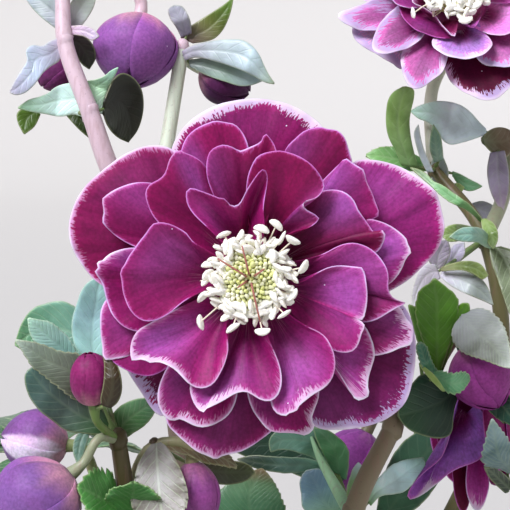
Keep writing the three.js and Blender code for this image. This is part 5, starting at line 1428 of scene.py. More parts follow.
LEFT_LEAVES = [
    # painted light: this leaf's colours are lightened against the shade it lies in
    drawn(FORK_LEFT, (26, 26, 24), "#a4dccc #aadcdc #a0dccc",
          "-164,-80 -174,-70 -178,-56 -178.3,-43 -176,-33 -172.5,-23 -169,-13 -163,-5 -155,0 -149,1",
          "-146,-78 -140,-62 -136,-42 -136,-22 -140,-7", notch=0.01, veins=0.05, silver=0.2),
    drawn(FORK_LEFT, (40, 42, 40), "#5f8f7c #5f9a78 #6aa86a",
          "-166,-82 -190,-78 -210,-74 -226,-72 -236,-67",
          "-164,-52 -174,-30 -188,-23 -204,-25 -218,-31 -228,-44", notch=0.02),
    drawn(FORK_LEFT, (24, 22, 20), "#84c4b4 #a4d4c4 #acdcc0",
          "-180,-86 -195,-78 -208,-70 -217,-62 -220.5,-55 -222,-47 -222.5,-39.5",
          "-166,-82 -173,-74 -179,-63 -184,-56.5 -190,-51 -196,-46 -202,-43 -210,-41.7 -217,-40.4",
          teeth=12, notch=0.05, veins=0.03),
    drawn(FORK_LEFT, (13, 11, 8), "#2c2a14 #3a3c20 #6f8068 #a4baa8",
          "-149,-130 -160,-127 -170,-124.5 -178,-121 -185,-116 -194,-109 -200,-104 -207,-98.5 -214,-93 "
          "-219,-89 -222,-84 -225,-79 -229,-72 -233,-66 -236,-61",
          "-144,-126 -150,-102 -160,-84 -172,-75 -184,-73 -192,-71.5 -200,-68.5 -210,-65 -220,-63 -230,-62",
          teeth=14, notch=0.1, veins=0.08),
    drawn(FORK_LEFT, (16, 15, 12), "#33661f #213d30 #3d6e60",
          "-137,-162 -150,-156.5 -162,-155.5 -172,-154.5 -180,-153.5 -188,-150 -196,-143.5 -203,-138.5 "
          "-210,-133 -216,-126 -221,-118 -224,-110 -225.5,-102 -225,-96 -221,-90.5",
          "-132,-154 -142,-140 -152,-126 -166,-116 -180,-106 -194,-97 -206,-90 -214,-88",
          teeth=9, notch=0.01, veins=0.08),
    drawn(FORK_LEFT, (19, 18, 16), "#4c6a2c #4f8a48 #2f6a40",
          "-133,-160 -137,-147 -137,-136 -130,-128 -118,-122 -105,-120 -94,-124",
          "-129,-163 -123,-159 -116,-154 -108,-149 -100,-141 -95,-132", notch=0.02, veins=0.12),
    drawn(FORK_LEFT, (26, 24), "#7fae98 #8fc0a8",
          "-170,-152 -176,-162 -177,-174 -173,-186",
          "-160,-154 -164,-166 -167,-176", teeth=5, notch=0.02, silver=0.2),
    drawn(ARCH_LEFT, (33, 35, 35), "#3a3020 #3c4428 #46502e",
          "-50,-185 -35,-182 -15,-183 -2,-186.5 5,-194",
          "-50,-198 -38,-204.5 -20,-206 -4,-202", veins=0.03, fold=-0.1, silver=0),
    drawn(BUD_FOOT, (0, -1.5, 0), "#2c200e #3a2c14 #4a3c1c",
          "-149,-127 -149.5,-120 -147.5,-110 -146,-98 -146,-86 -147.5,-74",
          "-140,-130 -133,-124 -129,-114 -129,-102 -132,-90 -138,-80", veins=0.03, fold=-0.25, silver=0),
]
BACK_LEAVES = [
    drawn(FORK_HIGH, (53, 53, 49), "#e4fff0 #d8fff0 #8cc090",
          "-158,160 -166,161 -176,164 -190,162 -205,164.5 -220,167 -233,170",
          "-157,174 -162,190 -174,195 -188,193.5 -196,190 -202,185 -210,181.5 -222,178",
          veins=0.04, fold=0.05),
    drawn(FORK_HIGH, (54, 54, 50), "#e0ffe8 #b8e8b8 #acecd0",
          "-158,166 -163,178 -167,188 -165,196 -155,198.5 -146,202 -140,207 -132,211",
          "-148,164 -147.5,172 -146,180 -143,188 -139,197 -135,204", veins=0.04, fold=0.05),
    drawn(FORK_HIGH, (52, 58, 62), "#1c2010 #24281c #2c3020",
          "-147,174 -142,188 -136,200 -128,205 -118,201 -110,191 -107,178 -108,163 -113,148 -122,136",
          "-147,164 -144,155 -139,147 -131,140", veins=0, silver=0),
    drawn(FORK_HIGH, (66, 64), "#3f5a08 #46660c",
          "-210,164 -216,152 -226,144",
          "-214,170 -228,169 -233,165 -232,155", teeth=4, veins=0.03, silver=0),
    drawn(FORK_HIGH, (62, 60), "#34480c #3c5016",
          "-162,164 -160,153 -159,139",
          "-184,163 -176,154 -168,146", teeth=4, veins=0.03, silver=0),
    drawn(HIGH_NODE, (53, 50, 47), "#b4a8bc #cce0f4 #bcb4cc",
          "-188,225 -192,217 -200,212 -208,205 -216,194 -226,185.5 -235,183.5 -241,186",
          "-190,241 -200,237 -208,232 -218,233 -224,228 -223,218 -230,206 -236,196", veins=0.05, silver=0.2),
    drawn(HIGH_NODE, (57, 60), "#2c2020 #32302a",
          "-178,243 -166,242 -157,232 -155,220 -161,209",
          "-179,234 -174,223 -168,214", teeth=4, veins=0.03, silver=0),
    drawn(HIGH_NODE, (54, 52), "#d0b4c8 #c4b8d0",
          "-180,252 -166,252.5 -157,249 -151,242",
          "-179,244 -166,242 -158,238", teeth=4, veins=0.03, silver=0),
    drawn(TOP_HIGH, (58, 60, 62), "#a0a4b4 #98a8a4 #8c9ab0",
          "-190,247 -200,254 -211,263 -220,273 -230,290",
          "-186,258 -188,272 -198,283 -212,290", veins=0.05, silver=0.2),
    drawn(TOP_HIGH, (58, 60, 62), "#b0acb4 #a8b4a4 #98a494",
          "-182,260 -180,274 -170,286 -154,290",
          "-178,247 -170,252 -162,262 -156,274", veins=0.05, silver=0.2),
    drawn(TOP_PALE, (62, 58, 54, 54), "#b0a8b8 #b4c4c4 #c4dce0 #94a88c",
          "-69,226 -60,232 -45,236 -25,238.5 -8,238 2,232 9,223 13,214 18,204 25,194",
          "-66,218 -54,221 -38,218 -22,213 -8,208 4,202 15,196", veins=0.04, curl=-0.2),
    drawn(TOP_PALE, (63, 60, 58), "#7c8a84 #84a08c #b0c8cc",
          "-62,218 -45,220 -28,216 -10,209 2,203 13,198",
          "-61,212 -50,206 -38,201 -24,196.5 -10,192.5 2,193.5", veins=0.04),
    drawn(TOP_PALE, (65, 66, 66), "#6f5a54 #5f6a2c #4a7a10",
          "-70,240 -64,249 -55,255 -44,262 -33,269 -23,276 -17,282",
          "-58,235 -45,237 -36,240 -28,248 -22,260 -18.5,272", veins=0.04, silver=0),
    drawn(TOP_PALE, (64, 62, 62), "#8a8498 #a8a8b4 #989aa8",
          "-69,241 -74,251 -80,260 -82,269 -76,273",
          "-59,245 -60,256 -64,266 -69,272", teeth=4, veins=0.03, silver=0.2),
]
RIGHT_LEAVES = [
    drawn(HIGH_FORK_RIGHT, (80, 76, 72), "#6f9a50 #7fa64c #8fba58",
          "152,112 145,128 138.5,141 136,153 136,166 138,178 143,186 154,192",
          "168,110 163,128 160,143 159,158 161,170 163.5,181 163,189", teeth=5, veins=0.1, curl=-0.3),
    drawn(HIGH_FORK_RIGHT, (77, 74), "#98a3ac #b0bcc4",
          "177,106 171,118 166,133 164,146 168,154",
          "183,106 178,118 173,130 170,142", teeth=5, silver=0.4),
    # painted light: this leaf's pale colours are lightened against the shadow that the back bloom casts on it
    drawn(FAR_FORK_RIGHT, (84, 80, 84), "#cfe8f0 #e6faff #b0e4c4",
          "236,144 225,140 212,136 200,134 193,138 187,148 178,156 168,160 160,167",
          "236,149 228,157 220,166 211,172.5 200,176 188,177 177,175 168,172", veins=0.05, silver=0.2),
    drawn(HIGH_FORK_RIGHT, (80, 76), "#6f8a78 #5a9070",
          "184,116 180,128 180,140 183,154",
          "193,118 192,130 190,142", teeth=5),
    drawn(HIGH_FORK_RIGHT, (84, 82), "#7d8784 #8c9894",
          "184,94 180,106 182,118 190,126",
          "196,94 198,106 195,116", teeth=5, silver=0.2),
    drawn(FORK_RIGHT, (66, 60, 62, 66), "#5f8a3c #6fae68 #6fae68 #5f7a34",
          "230,56 222,64 214,69.5 208,72 198,77 188,85 181,92 174,98 166,105 159,111",
          "235,55 227,65 220,73 212,79 202,86 192,93 183,97 176,104.5 168,109",
          teeth=9, notch=0.06, veins=0.06),
    drawn(HIGH_FORK_RIGHT, (88, 86), "#5aa060 #4fa85c",
          "202,107 210,104 220,98.5 227,95 232,92",
          "202,103 207,95 214,88.5 222,87.5", teeth=6, notch=0.03, silver=0.2),
    drawn(HIGH_FORK_RIGHT, (86, 86), "#7d9a3c #88a848",
          "196,89 202,94 208,95 214,91",
          "197,85 204,83 210,85", teeth=4, notch=0.02),
    drawn(FORK_RIGHT, (62, 56, 56), "#86a048 #6f8f3a #5f7a34",
          "236,59 243,55 247,47 247,37 243,29",
          "231,58 232,50 235,41 239,33", teeth=6, notch=0.02),
    drawn(FORK_RIGHT, (58, 50, 48), "#7aa070 #6fac96 #8cc4ac",
          "240,29.5 234,31.5 228,35.5 218,36.5 208,37.5 199,41",
          "241,38 236,46 230,50 220,51.2 211,50 205,46.5", teeth=7, notch=0.04, silver=0.25),
    drawn(FORK_RIGHT, (62, 54, 54), "#5f7a28 #72902c",
          "218,40 206,37 198,37 192,42",
          "220,52 208,54 200,53 195,50", teeth=6, notch=0.02),
    drawn(FORK_RIGHT, (66, 60, 58), "#5a6a38 #66754a #59683f",
          "250,32 265,26 275,8 278,-22 270,-52",
          "239,30 241,16 247,0 253,-18 260,-37", teeth=9, notch=0.02, veins=0.25),
    drawn(FORK_RIGHT, (60, 54, 54), "#7d7a44 #6f8634 #7d943c",
          "191,11 200,14 210,16.5 220,17 230,14 238,3",
          "191,7 202,8 213,8 224,4 232,-1", teeth=6),
    drawn(FORK_RIGHT, (62, 56, 56), "#c4bcca #a4b0a8 #9aa8a0",
          "192,7 205,8 220,5 232,-2 239,-13 243,-27",
          "190,2 198,-5.5 208,-11.5 220,-17 232,-22", teeth=7, veins=0.1, silver=0.4),
    drawn(FORK_RIGHT, (64, 60), "#c8b8cc #aa9cb8",
          "183,10 178,20 180,30 188,37 197,39",
          "191,10 197,18 200,28", teeth=5, silver=0.3),
    drawn(FORK_RIGHT, (66, 64), "#c8bcd4 #b8aecb",
          "193,11 198,25 204,34 214,36",
          "196,8 207,15 214,24", teeth=5, silver=0.3),
    drawn(FORK_RIGHT, (62, 58, 56), "#d8ccd8 #e0dce4 #d8d8d4",
          "190,0 180,-5 172,-14 167,-25 162,-35",
          "186,13 176,14 169,8 164,-4 161,-18", teeth=5, veins=0.05, silver=0.5),
    drawn(FAR_FORK_RIGHT, (84, 84), "#a89cb8 #9a86a8 #b89cb4",
          "254,128 258,108 258,88 253,66",
          "240,126 237,108 240,88 247,73", teeth=5, silver=0.3),
    drawn(FAR_FORK_RIGHT, (83, 90), "#5f6a3a #6a5228 #6a4c30",
          "231,140 238,147 246,150.5 255,150 266,144",
          "232,136 239,128 247,122 257,122", teeth=5, veins=0.05),
    drawn(FORK_RIGHT, (92, 92), "#aaa6ba #bdb8cc",
          "222,75 232,77 242,73 251,65",
          "221,69 227,61 238,57", teeth=5, silver=0.4),
    drawn(LOW_NODE_RIGHT, (44, 32, 26), "#4c6a70 #668a94 #8cb0b4",
          "258,-195 247,-190.5 237,-189.5 231,-186 230,-178 232,-169 234.5,-161 236,-153 239,-146 "
          "242,-140.5",
          "262,-193 268,-186 270,-178 266,-170 260,-162 254,-154 248,-147",
          teeth=11, notch=0.2, veins=0.2, silver=0.35),
    drawn(LOW_NODE_RIGHT, (46, 40), "#1f3018 #24381c",
          "255,-215 245,-206 238,-198 234,-189",
          "264,-206 255,-197 246,-190", teeth=5, notch=0.02),
]
# Each stem: its leaves, the swellings at its joints, its stalks as (points, radii, colours), and its
# bracts as (foot, tip, direction that its face looks, width, arch, colour, what differs).
STEMS = {
    "front_stem": dict(
        drawn=FRONT_LEAVES,
        joints=[(FORK_FRONT, 2.6), (LOW_FORK_FRONT, 2.8), (ARCH_FRONT, 1.9)],
        stalks=[
            ([*foot(10, -9), vec(17, -20, 215), LOW_FORK_FRONT, FORK_FRONT],
             [2.9, 2.9, 2.7, 2.5, 2.2], "#8c7f66"),
            bloom_stalk(BLOOM_AT, OUT, -5.5, 22, [FORK_FRONT, seen(24, -14, 44)],
                        [2, 1.8, 1.9, 2.6], "#9a8a72"),
            bud_stalk("nodding_bud_right", [FORK_FRONT, seen(38, -22, 42), ARCH_FRONT],
                      [1.9, 1.5, 1.5, 1.6, 1.8], RED),
            bud_stalk("nodding_bud_behind", [FORK_FRONT, seen(28.5, -28.5, 56)], [1.4, 1.3, 1.4, 1.6], BROWN),
            ([LOW_FORK_FRONT, seen(19.4, -46.7, 44), seen(16.8, -42.1, 48.5), seen(14.6, -38, 49.4),
              seen(13.1, -34, 50)], [1.7, 1.5, 1.2, 0.8, 0.4], "#a8d8a8"),
            bloom_stalk(NODDING_AT, NODDING_OUT, NODDING_FOOT, 8, [ARCH_FRONT, seen(49, -12, 56)],
                        [1.4, 1.4, 1.5, 1.8], RED),
        ],
        bracts=[
            (ARCH_FRONT, seen(58, -31.5, 34), (0.1, -0.8, -0.5), 7, 3, "#1f4a38",
             dict(veins=0.1, depth=0.03)),
        ],
    ),
    "left_stem": dict(
        drawn=LEFT_LEAVES,
        joints=[(FORK_LEFT, 2.2), (LOW_FORK_LEFT, 2.6), (ARCH_LEFT, 1.45)],
        stalks=[
            ([*foot(-10, -9), vec(-17, -22, 215), LOW_FORK_LEFT, FORK_LEFT],
             [2.9, 2.9, 2.6, 2.2, 1.8], "#524a2c"),
            bud_stalk("upright_bud", [FORK_LEFT], [0.9, 0.9, 1.5], "#6d8a48"),
            bud_stalk("nodding_bud_left", [FORK_LEFT, seen(-32.6, -34.4, 9)], [1.1, 1, 1.05, 1.7], "#98a080"),
            bud_stalk("nodding_bud_far", [LOW_FORK_LEFT, seen(-33, -43, 28)], [1.4, 1.3, 1.3, 1.6], GREEN),
            bud_stalk("nodding_bud_low", [LOW_FORK_LEFT, seen(-24, -40.5, 20), ARCH_LEFT],
                      [1.5, 1.4, 1.4, 1.4, 1.6], "#a8a87c"),
        ],
        bracts=[
            (LOW_FORK_LEFT, seen(-37, -45, 4), (0.1, -0.8, 0.6), 14, 1.5, "#4c9440",
             dict(teeth=10, depth=0.18, veins=0.12)),
            (LOW_FORK_LEFT, seen(-25, -44, 7), (0.1, -0.8, 0.6), 12, 1.5, "#4f9048",
             dict(veins=0.1, depth=0.05)),
            (seen(-20.2, -35.6, 18), seen(-18.4, -55, 9), (-0.15, -1, 0.1), 12.5, 1.5, "#857c6c",
             dict(veins=0.35, silver=0.35, depth=0.02, blunt=0.6)),
            (ARCH_LEFT, seen(-3, -40.5, 22), (0.1, -0.6, 0.8), 7, 2.5, "#7a6a4a", dict(depth=0.05)),
        ],
    ),
    "back_stem": dict(
        drawn=BACK_LEAVES,
        joints=[(FORK_BACK, 2.8), (FORK_HIGH, 2.25), (HIGH_NODE, 2.1), (TOP_HIGH, 1.9), (TOP_PALE, 1.8)],
        stalks=[
            ([*foot(-7, 8), vec(-10, 4, 220), FORK_BACK, seen(-30.4, 24, 50), FORK_HIGH, HIGH_NODE, TOP_HIGH],
             [3, 3, 2.9, 2.6, 2.4, 2.2, 2, 1.8],
             f"#55502e #55502e #5f5a3c #8f7a70 {PINK} {PINK} {PINK} {PINK}"),
            ([FORK_BACK, seen(-18.4, 26, 62), TOP_PALE], [1.8, 1.8, 1.7], PALE),
            bud_stalk("nodding_bud_high", [TOP_HIGH, seen(-35, 67, 60), seen(-28, 66, 64)],
                      [1.5, 1.4, 1.5, 1.5, 1.7], PINK),
            bud_stalk("small_bud_high", [HIGH_NODE, seen(-38, 53, 62)], [1.2, 1.1, 1.2, 1.4], PINK),
            bud_stalk("hooded_bud_high", [TOP_PALE], [1.4, 1.3, 1.5], PALE),
        ],
        bracts=[],
    ),
    "right_stem": dict(
        drawn=RIGHT_LEAVES,
        joints=[(FORK_RIGHT, 2.2), (HIGH_FORK_RIGHT, 1.9), (FAR_FORK_RIGHT, 1.6)],
        stalks=[
            ([*foot(8, 8), vec(20, 13, 220), LOW_NODE_RIGHT, FORK_RIGHT, HIGH_FORK_RIGHT],
             [3, 3, 2.6, 2.2, 1.8, 1.5], "#6a6640"),
            bloom_stalk(BACK_AT, BACK_OUT, -5.5, 18, [HIGH_FORK_RIGHT, seen(39, 40, 90)],
                        [1.9, 1.6, 1.8, 2.6], "#c9c9b4"),
            ([FORK_RIGHT, seen(54.5, 18, 90), FAR_FORK_RIGHT], [1.9, 1.8, 1.6], "#9aa080"),
        ],
        bracts=[
            (HIGH_FORK_RIGHT, seen(25, 26.5, 82), (0.1, -0.9, 0.5), 6.5, 1, "#74a860",
             dict(depth=0.02, veins=0.15)),
        ],
    ),
}


def stalk_line(points, radii, tones):
    line, k = catmull(points, 1.6)
    knots = np.linspace(0, 1, len(radii))
    return line, np.interp(k, knots, radii), tones_along(tones, k)


# ---------------------------------------------------------------- basal leaves
LEAVES = [
    dict(turn=214, out=92, high=205, size=1),
    dict(turn=258, out=96, high=192, size=0.95),
    dict(turn=318, out=94, high=200, size=1),
    dict(turn=4, out=92, high=214, size=1.02),
    dict(turn=50, out=72, high=300, size=0.95),
    dict(turn=100, out=92, high=226, size=1.02),
    dict(turn=146, out=66, high=296, size=0.95),
    dict(turn=168, out=90, high=226, size=0.95),
]
FINGERS = [(0, 84, 27), (33, 78, 25), (68, 66, 22), (112, 46, 17)]
STALK = dict(foot=24, bend=36, radius=2.4)
SOIL_TOP = 136


def basal_leaf(skin, i, leaf, thickness):
    """Seven leaflets spread like fingers from the end of the stalk; returns the stalk's line."""
    turn, size, high = math.radians(leaf["turn"]), leaf["size"], leaf["high"]
    lean = vec(math.cos(turn), math.sin(turn), 0)
    side = vec(-lean[1], lean[0], 0)
    middle = lean * leaf["out"] + vec(0, 0, high)

    def way(degrees, length, drop=0.0):
        a = math.radians(degrees)
        return middle + lean * length * math.cos(a) + side * length * math.sin(a) + vec(0, 0, drop)

    for degrees, long, wide in FINGERS + [(-d, lo, w) for d, lo, w in FINGERS[1:]]:
        reach = long * size * (1 + 0.05 * math.sin(GOLDEN * (i + degrees)))
        tip = way(degrees, reach, 6 * math.cos(math.radians(degrees)) - reach * 0.2)
        face = way(degrees, 0.15, 1) - middle
        tone = ("#3f6a48", "#47744e", "#38603f")[(i + abs(degrees)) % 3]
        add_blade(
            skin, way(degrees, 1.0), tip, face, wide * size, reach * 0.11, tone, thickness,
            teeth=13, depth=0.13, fold=0.1, ripple=0.1, blunt=0.85, veins=0.55, phase=i + degrees * 0.1,
        )
    start = foot(lean[0] * STALK["foot"], lean[1] * STALK["foot"])
    bend = lean * STALK["bend"] + vec(0, 0, lerp(SOIL_TOP, high, 0.55))
    points = [*start, bend, middle + lean * 2]
    return stalk_line(points, [STALK["radius"], 2.3, 1.9, 2.3], "#5a7442")


# ---------------------------------------------------------------- properties
def length(label, description, default, least, most):
    return FloatProperty(
        name=label, description=description, default=default, min=least, max=most, unit="LENGTH", precision=5
    )


class HelleboreSizes(bpy.types.PropertyGroup):
    """Sizes that a user may change; the plant's own form follows its solids."""

    petal: length("Petal thickness", "Thickness of a petal away from its rim", 0.00055, 0.0002, 0.001)
    leaf: length("Leaf thickness", "Thickness of leaves and bracts away from the rim", 0.00055, 0.0002, 0.001)
    anther: length("Anther length", "Length of an open anther", 0.003, 0.001, 0.004)
    crumb: length("Soil crumb", "Radius of the largest crumbs on the soil", 0.0017, 0.0005, 0.004)
    stalk_sides: IntProperty(
        name="Stalk sides", description="Faces round each stalk", default=14, min=6, max=32
    )


def colour(label, description, code):
    return FloatVectorProperty(
        name=label, description=description, subtype="COLOR", size=3, min=0, max=1, default=linear(code)
    )


class HelleboreColours(bpy.types.PropertyGroup):
    """Colours of the plant's tissues, its pot and its soil."""

    petal_deep: colour("Petal, deep", "Darkest petals", "#76083e")
    petal_plum: colour("Petal, plum", "Palest petals", "#8a1a68")
    petal_bright: colour("Petal, bright", "Red streaks along a crease", "#e0308c")
    petal_vein: colour("Petal veins", "Fine dark veins", "#4a0628")
    petal_rim: colour("Petal rim", "Clear edge of the petals", "#f7e6fb")
    petal_lilac: colour("Petal lilac", "Clear edge where it is narrow", "#d692e6")
    petal_blush: colour("Petal blush", "Feathered band inside the clear edge", "#cf5cb4")
    # painted sheen: the lilac painted where the petals face the light
    petal_painted_sheen: colour("Petal veil", "Lilac bloom on the raised parts of the petals", "#b45cb8")
    throat: colour("Throat streaks", "Pale streaks near the stamens", "#dba6bd")
    anther_cream: colour("Anther, cream", "Open anthers", "#fffdf0")
    anther_green: colour("Anther, green", "Closed anthers in the middle", "#e6ec96")
    filament: colour("Filament", "Threads that carry the anthers", "#f2e6cf")
    style: colour("Style", "Thin styles in the middle", "#a9695f")
    leaf_vein: colour("Leaf veins", "Midrib and side veins", "#b9cfa0")
    leaf_hem: colour("Leaf hem", "Thin edge of leaves and bracts", "#c6cf9a")
    leaf_wax: colour("Leaf wax", "Silvery wax on some bracts", "#d4dde4")
    stem_flush: colour("Stem flush", "Red flush along the stems", "#9c6a68")
    clay: colour("Clay", "Fired clay of the pot", "#b5673f")
    clay_dark: colour("Clay, dark", "Darker clouds in the clay", "#96502f")


MATERIAL_MAKERS = {
    "petal": petal_tissue,
    "leaf": leaf_skin,
    "stem": stem_skin,
    "anther": pollen_cream,
    "clay": terracotta,
    "soil": potting_soil,
}
materials = {}


def settings(context):
    """The user's sizes and colours, and the materials, which are made on the first call."""
    sizes, colours = context.scene.hellebore_sizes, context.scene.hellebore_colours
    for name, make in MATERIAL_MAKERS.items():
        if name not in materials:
            materials[name] = make(colours)
    return sizes, colours, materials


# ---------------------------------------------------------------- operators
class HELLEBORE_OT_open_bloom(bpy.types.Operator):
    """Grow the open double bloom: its petals, stamens and styles"""

    bl_idname = "hellebore.open_bloom"
    bl_label = "Open Bloom"

    def execute(self, context):
        sizes, colours, made = settings(context)
        place = head(BLOOM_AT, OUT, UP)
        skin = Skin()
        hub(skin, place, colours)
        add_outlines(skin, OUTLINES, 0, place, sizes.petal / MM, colours)
        settle(skin.build("open_bloom_petal_rings", made["petal"]), "petal", "open_bloom_petals")
        stamens("open_bloom", 1, place, sizes, colours, made, 3, STRAYS)
        directions = [(104, 6.4, 12.2), (148, 7.4, 12), (283, 8.6, 11.8), (35, 3, 12.2), (215, 2.6, 12)]
        styles("open_bloom", 1, place, colours, made, directions)
        return {"FINISHED"}


class HELLEBORE_OT_back_bloom(bpy.types.Operator):
    """Grow the second double bloom, behind at the top right"""

    bl_idname = "hellebore.back_bloom"
    bl_label = "Back Bloom"

    def execute(self, context):
        sizes, colours, made = settings(context)
        place = head(BACK_AT, BACK_OUT, UP)
        skin = Skin()
        hub(skin, place, colours)
        for petal in back_bloom():
            add_petal(skin, petal, place, sizes.petal / MM, colours, 30, 20)
        add_outlines(skin, BACK_OUTLINES, 30, place, sizes.petal / MM, colours)
        settle(skin.build("back_bloom_petal_rings", made["petal"]), "petal", "back_bloom_petals")
        stamens("back_bloom", 0.95, place, sizes, colours, made, 5, STRAYS[::2])
        directions = [(80, 6, 11.4), (200, 6, 11.4), (320, 6, 11.4)]
        styles("back_bloom", 0.95, place, colours, made, directions)
        return {"FINISHED"}


class HELLEBORE_OT_nodding_bloom(bpy.types.Operator):
    """Grow the half-open bloom that nods at the lower right"""

    bl_idname = "hellebore.nodding_bloom"
    bl_label = "Nodding Bloom"

    def execute(self, context):
        sizes, colours, made = settings(context)
        place = head(NODDING_AT, NODDING_OUT)
        skin = Skin()
        foot_profile = [(0, NODDING_FOOT), (2.2, NODDING_FOOT), (3.6, -2.8), (3.6, -1.6), (0, -1)]
        lathe(skin, place, foot_profile, 24, colours.petal_deep, (0.3, 0.1, 4))
        for petal in nodding_bloom():
            add_petal(skin, petal, place, sizes.petal / MM, colours, 30, 26)
        add_outlines(skin, NODDING_OUTLINES, 50, head(NODDING_AT, OUT, UP), sizes.petal / MM, colours)
        settle(skin.build("nodding_bloom_bell", made["petal"]), "petal", "nodding_bloom_petals")
        return {"FINISHED"}


class HELLEBORE_OT_buds(bpy.types.Operator):
    """Grow the nine buds, each of five wrapped sepals"""

    bl_idname = "hellebore.buds"
    bl_label = "Buds"

    def execute(self, context):
        sizes, _, made = settings(context)
        for index, (name, (at, out, wide, long, tone, look)) in enumerate(BUDS.items()):
            skin = Skin()
            bud(skin, head(at, out), wide, long, linear(tone), index, sizes.petal / MM, **look)
            settle(skin.build(f"{name}_sepals", made["petal"]), "bud", name)
        return {"FINISHED"}


class HELLEBORE_OT_stems(bpy.types.Operator):
    """Grow the four flowering stems with their side stalks and toothed bracts"""

    bl_idname = "hellebore.stems"
    bl_label = "Flowering Stems"

    def execute(self, context):
        sizes, _, made = settings(context)
        for name, parts in STEMS.items():
            lines = [stalk_line(*stalk) for stalk in parts["stalks"]]
            skin = Skin()
            for i, (start, end, face, wide, arch, tone, look) in enumerate(parts["bracts"]):
                add_blade(skin, start, end, face, wide, arch, tone, sizes.leaf / MM, phase=i * GOLDEN, **look)
            for i, leaf in enumerate(parts["drawn"]):
                foot_at = add_drawn(skin, leaf, sizes.leaf / MM, i * GOLDEN)
                lines.append(stalk_line([leaf["node"], foot_at], [0.7, 0.3], "#6f8a50"))
            tone = parts["stalks"][0][2].split()[-1]
            for at, swell in parts["joints"]:
                rows = [at + vec(0, 0, swell * k) for k in (-1.3, -0.9, 0, 0.9, 1.3)]
                lines.append(stalk_line(rows, [swell * k for k in (0.3, 0.8, 1, 0.8, 0.3)], tone))
            mesh = lines_mesh(name, lines)
            piece = grow(f"{name}_stalks", mesh, tube_tree(), Sides=sizes.stalk_sides, Material=made["stem"])
            settle(piece, "stem", name)
            settle(skin.build(f"{name}_bracts", made["leaf"]), "bract", name)
        return {"FINISHED"}


class HELLEBORE_OT_leaves(bpy.types.Operator):
    """Grow the eight basal leaves, each of seven toothed leaflets on a stalk"""

    bl_idname = "hellebore.leaves"
    bl_label = "Basal Leaves"

    def execute(self, context):
        sizes, _, made = settings(context)
        for i, leaf in enumerate(LEAVES):
            skin = Skin()
            line = basal_leaf(skin, i, leaf, sizes.leaf / MM)
            node = f"leaf_{i + 1}"
            settle(skin.build(f"{node}_leaflets", made["leaf"]), "leaf", node)
            piece = grow(f"{node}_stalk", lines_mesh(node, [line]), tube_tree(), Sides=sizes.stalk_sides,
                         Material=made["stem"])
            settle(piece, "leaf", node)
        return {"FINISHED"}


POT = dict(height=150, base=62, rim=95, rim_depth=30, rim_step=5, wall=7, floor=9)
DRAIN = dict(count=3, radius=6, out=30)


def pot_outer(z):
    return lerp(POT["base"], POT["rim"] - POT["rim_step"], z / POT["height"])


class HELLEBORE_OT_pot(bpy.types.Operator):
    """Turn the clay pot and bore its three drain holes"""

    bl_idname = "hellebore.pot"
    bl_label = "Clay Pot"

    def execute(self, context):
        _, colours, made = settings(context)
        top, rim, wall, floor = POT["height"], POT["rim"], POT["wall"], POT["floor"]
        rim_foot = top - POT["rim_depth"]
        inner = pot_outer(top) - wall
        profile = [(0, 0), (58, 0), (60.6, 0.5), (61.7, 1.6), (pot_outer(4), 4)]
        profile += [(pot_outer(z) + 0.12 * math.sin(z * 0.9), z) for z in range(8, int(rim_foot) - 2, 4)]
        profile += [(pot_outer(rim_foot) - 0.2, rim_foot - 0.6), (rim - 2.4, rim_foot + 0.2)]
        profile += [(rim - 0.9, rim_foot + 1.2), (rim - 0.5, rim_foot + 3), (rim, top - 4)]
        profile += [(rim - 0.4, top - 1.8), (rim - 1.6, top - 0.4)]
        profile += [(rim - 3, top), (inner + 2.4, top), (inner + 1, top - 0.6), (inner + 0.1, top - 2)]
        profile += [(pot_outer(floor + 4) - wall, floor + 4), (pot_outer(floor) - wall - 2, floor)]
        profile += [(0, floor)]
        skin = Skin()
        lathe(skin, (vec(0, 0, 0), np.eye(3)), profile, 128, colours.clay)
        pot = skin.build("pot_turned", made["clay"])
        drill = bmesh.new()
        radius, out = DRAIN["radius"] * MM, DRAIN["out"] * MM
        for i in range(DRAIN["count"]):
            turn = 2 * math.pi * i / DRAIN["count"]
            ring = bmesh.ops.create_cone(
                drill, cap_ends=True, segments=32, radius1=radius, radius2=radius, depth=30 * MM
            )
            place = (out * math.cos(turn), out * math.sin(turn), 0)
            bmesh.ops.translate(drill, verts=ring["verts"], vec=place)
        bits = bpy.data.meshes.new("drill")
        drill.to_mesh(bits)
        drill.free()
        tool = bpy.data.objects.new("drill", bits)
        context.scene.collection.objects.link(tool)
        cut = pot.modifiers.new("Drain holes", "BOOLEAN")
        cut.object = tool
        cut.operation = "DIFFERENCE"
        graph = context.evaluated_depsgraph_get()
        drilled = bpy.data.meshes.new_from_object(pot.evaluated_get(graph), depsgraph=graph)
        pot.modifiers.clear()
        pot.data = drilled
        bpy.data.objects.remove(tool)
        drilled.set_sharp_from_angle(angle=math.radians(40))
        settle(pot, "clay", "pot")
        return {"FINISHED"}


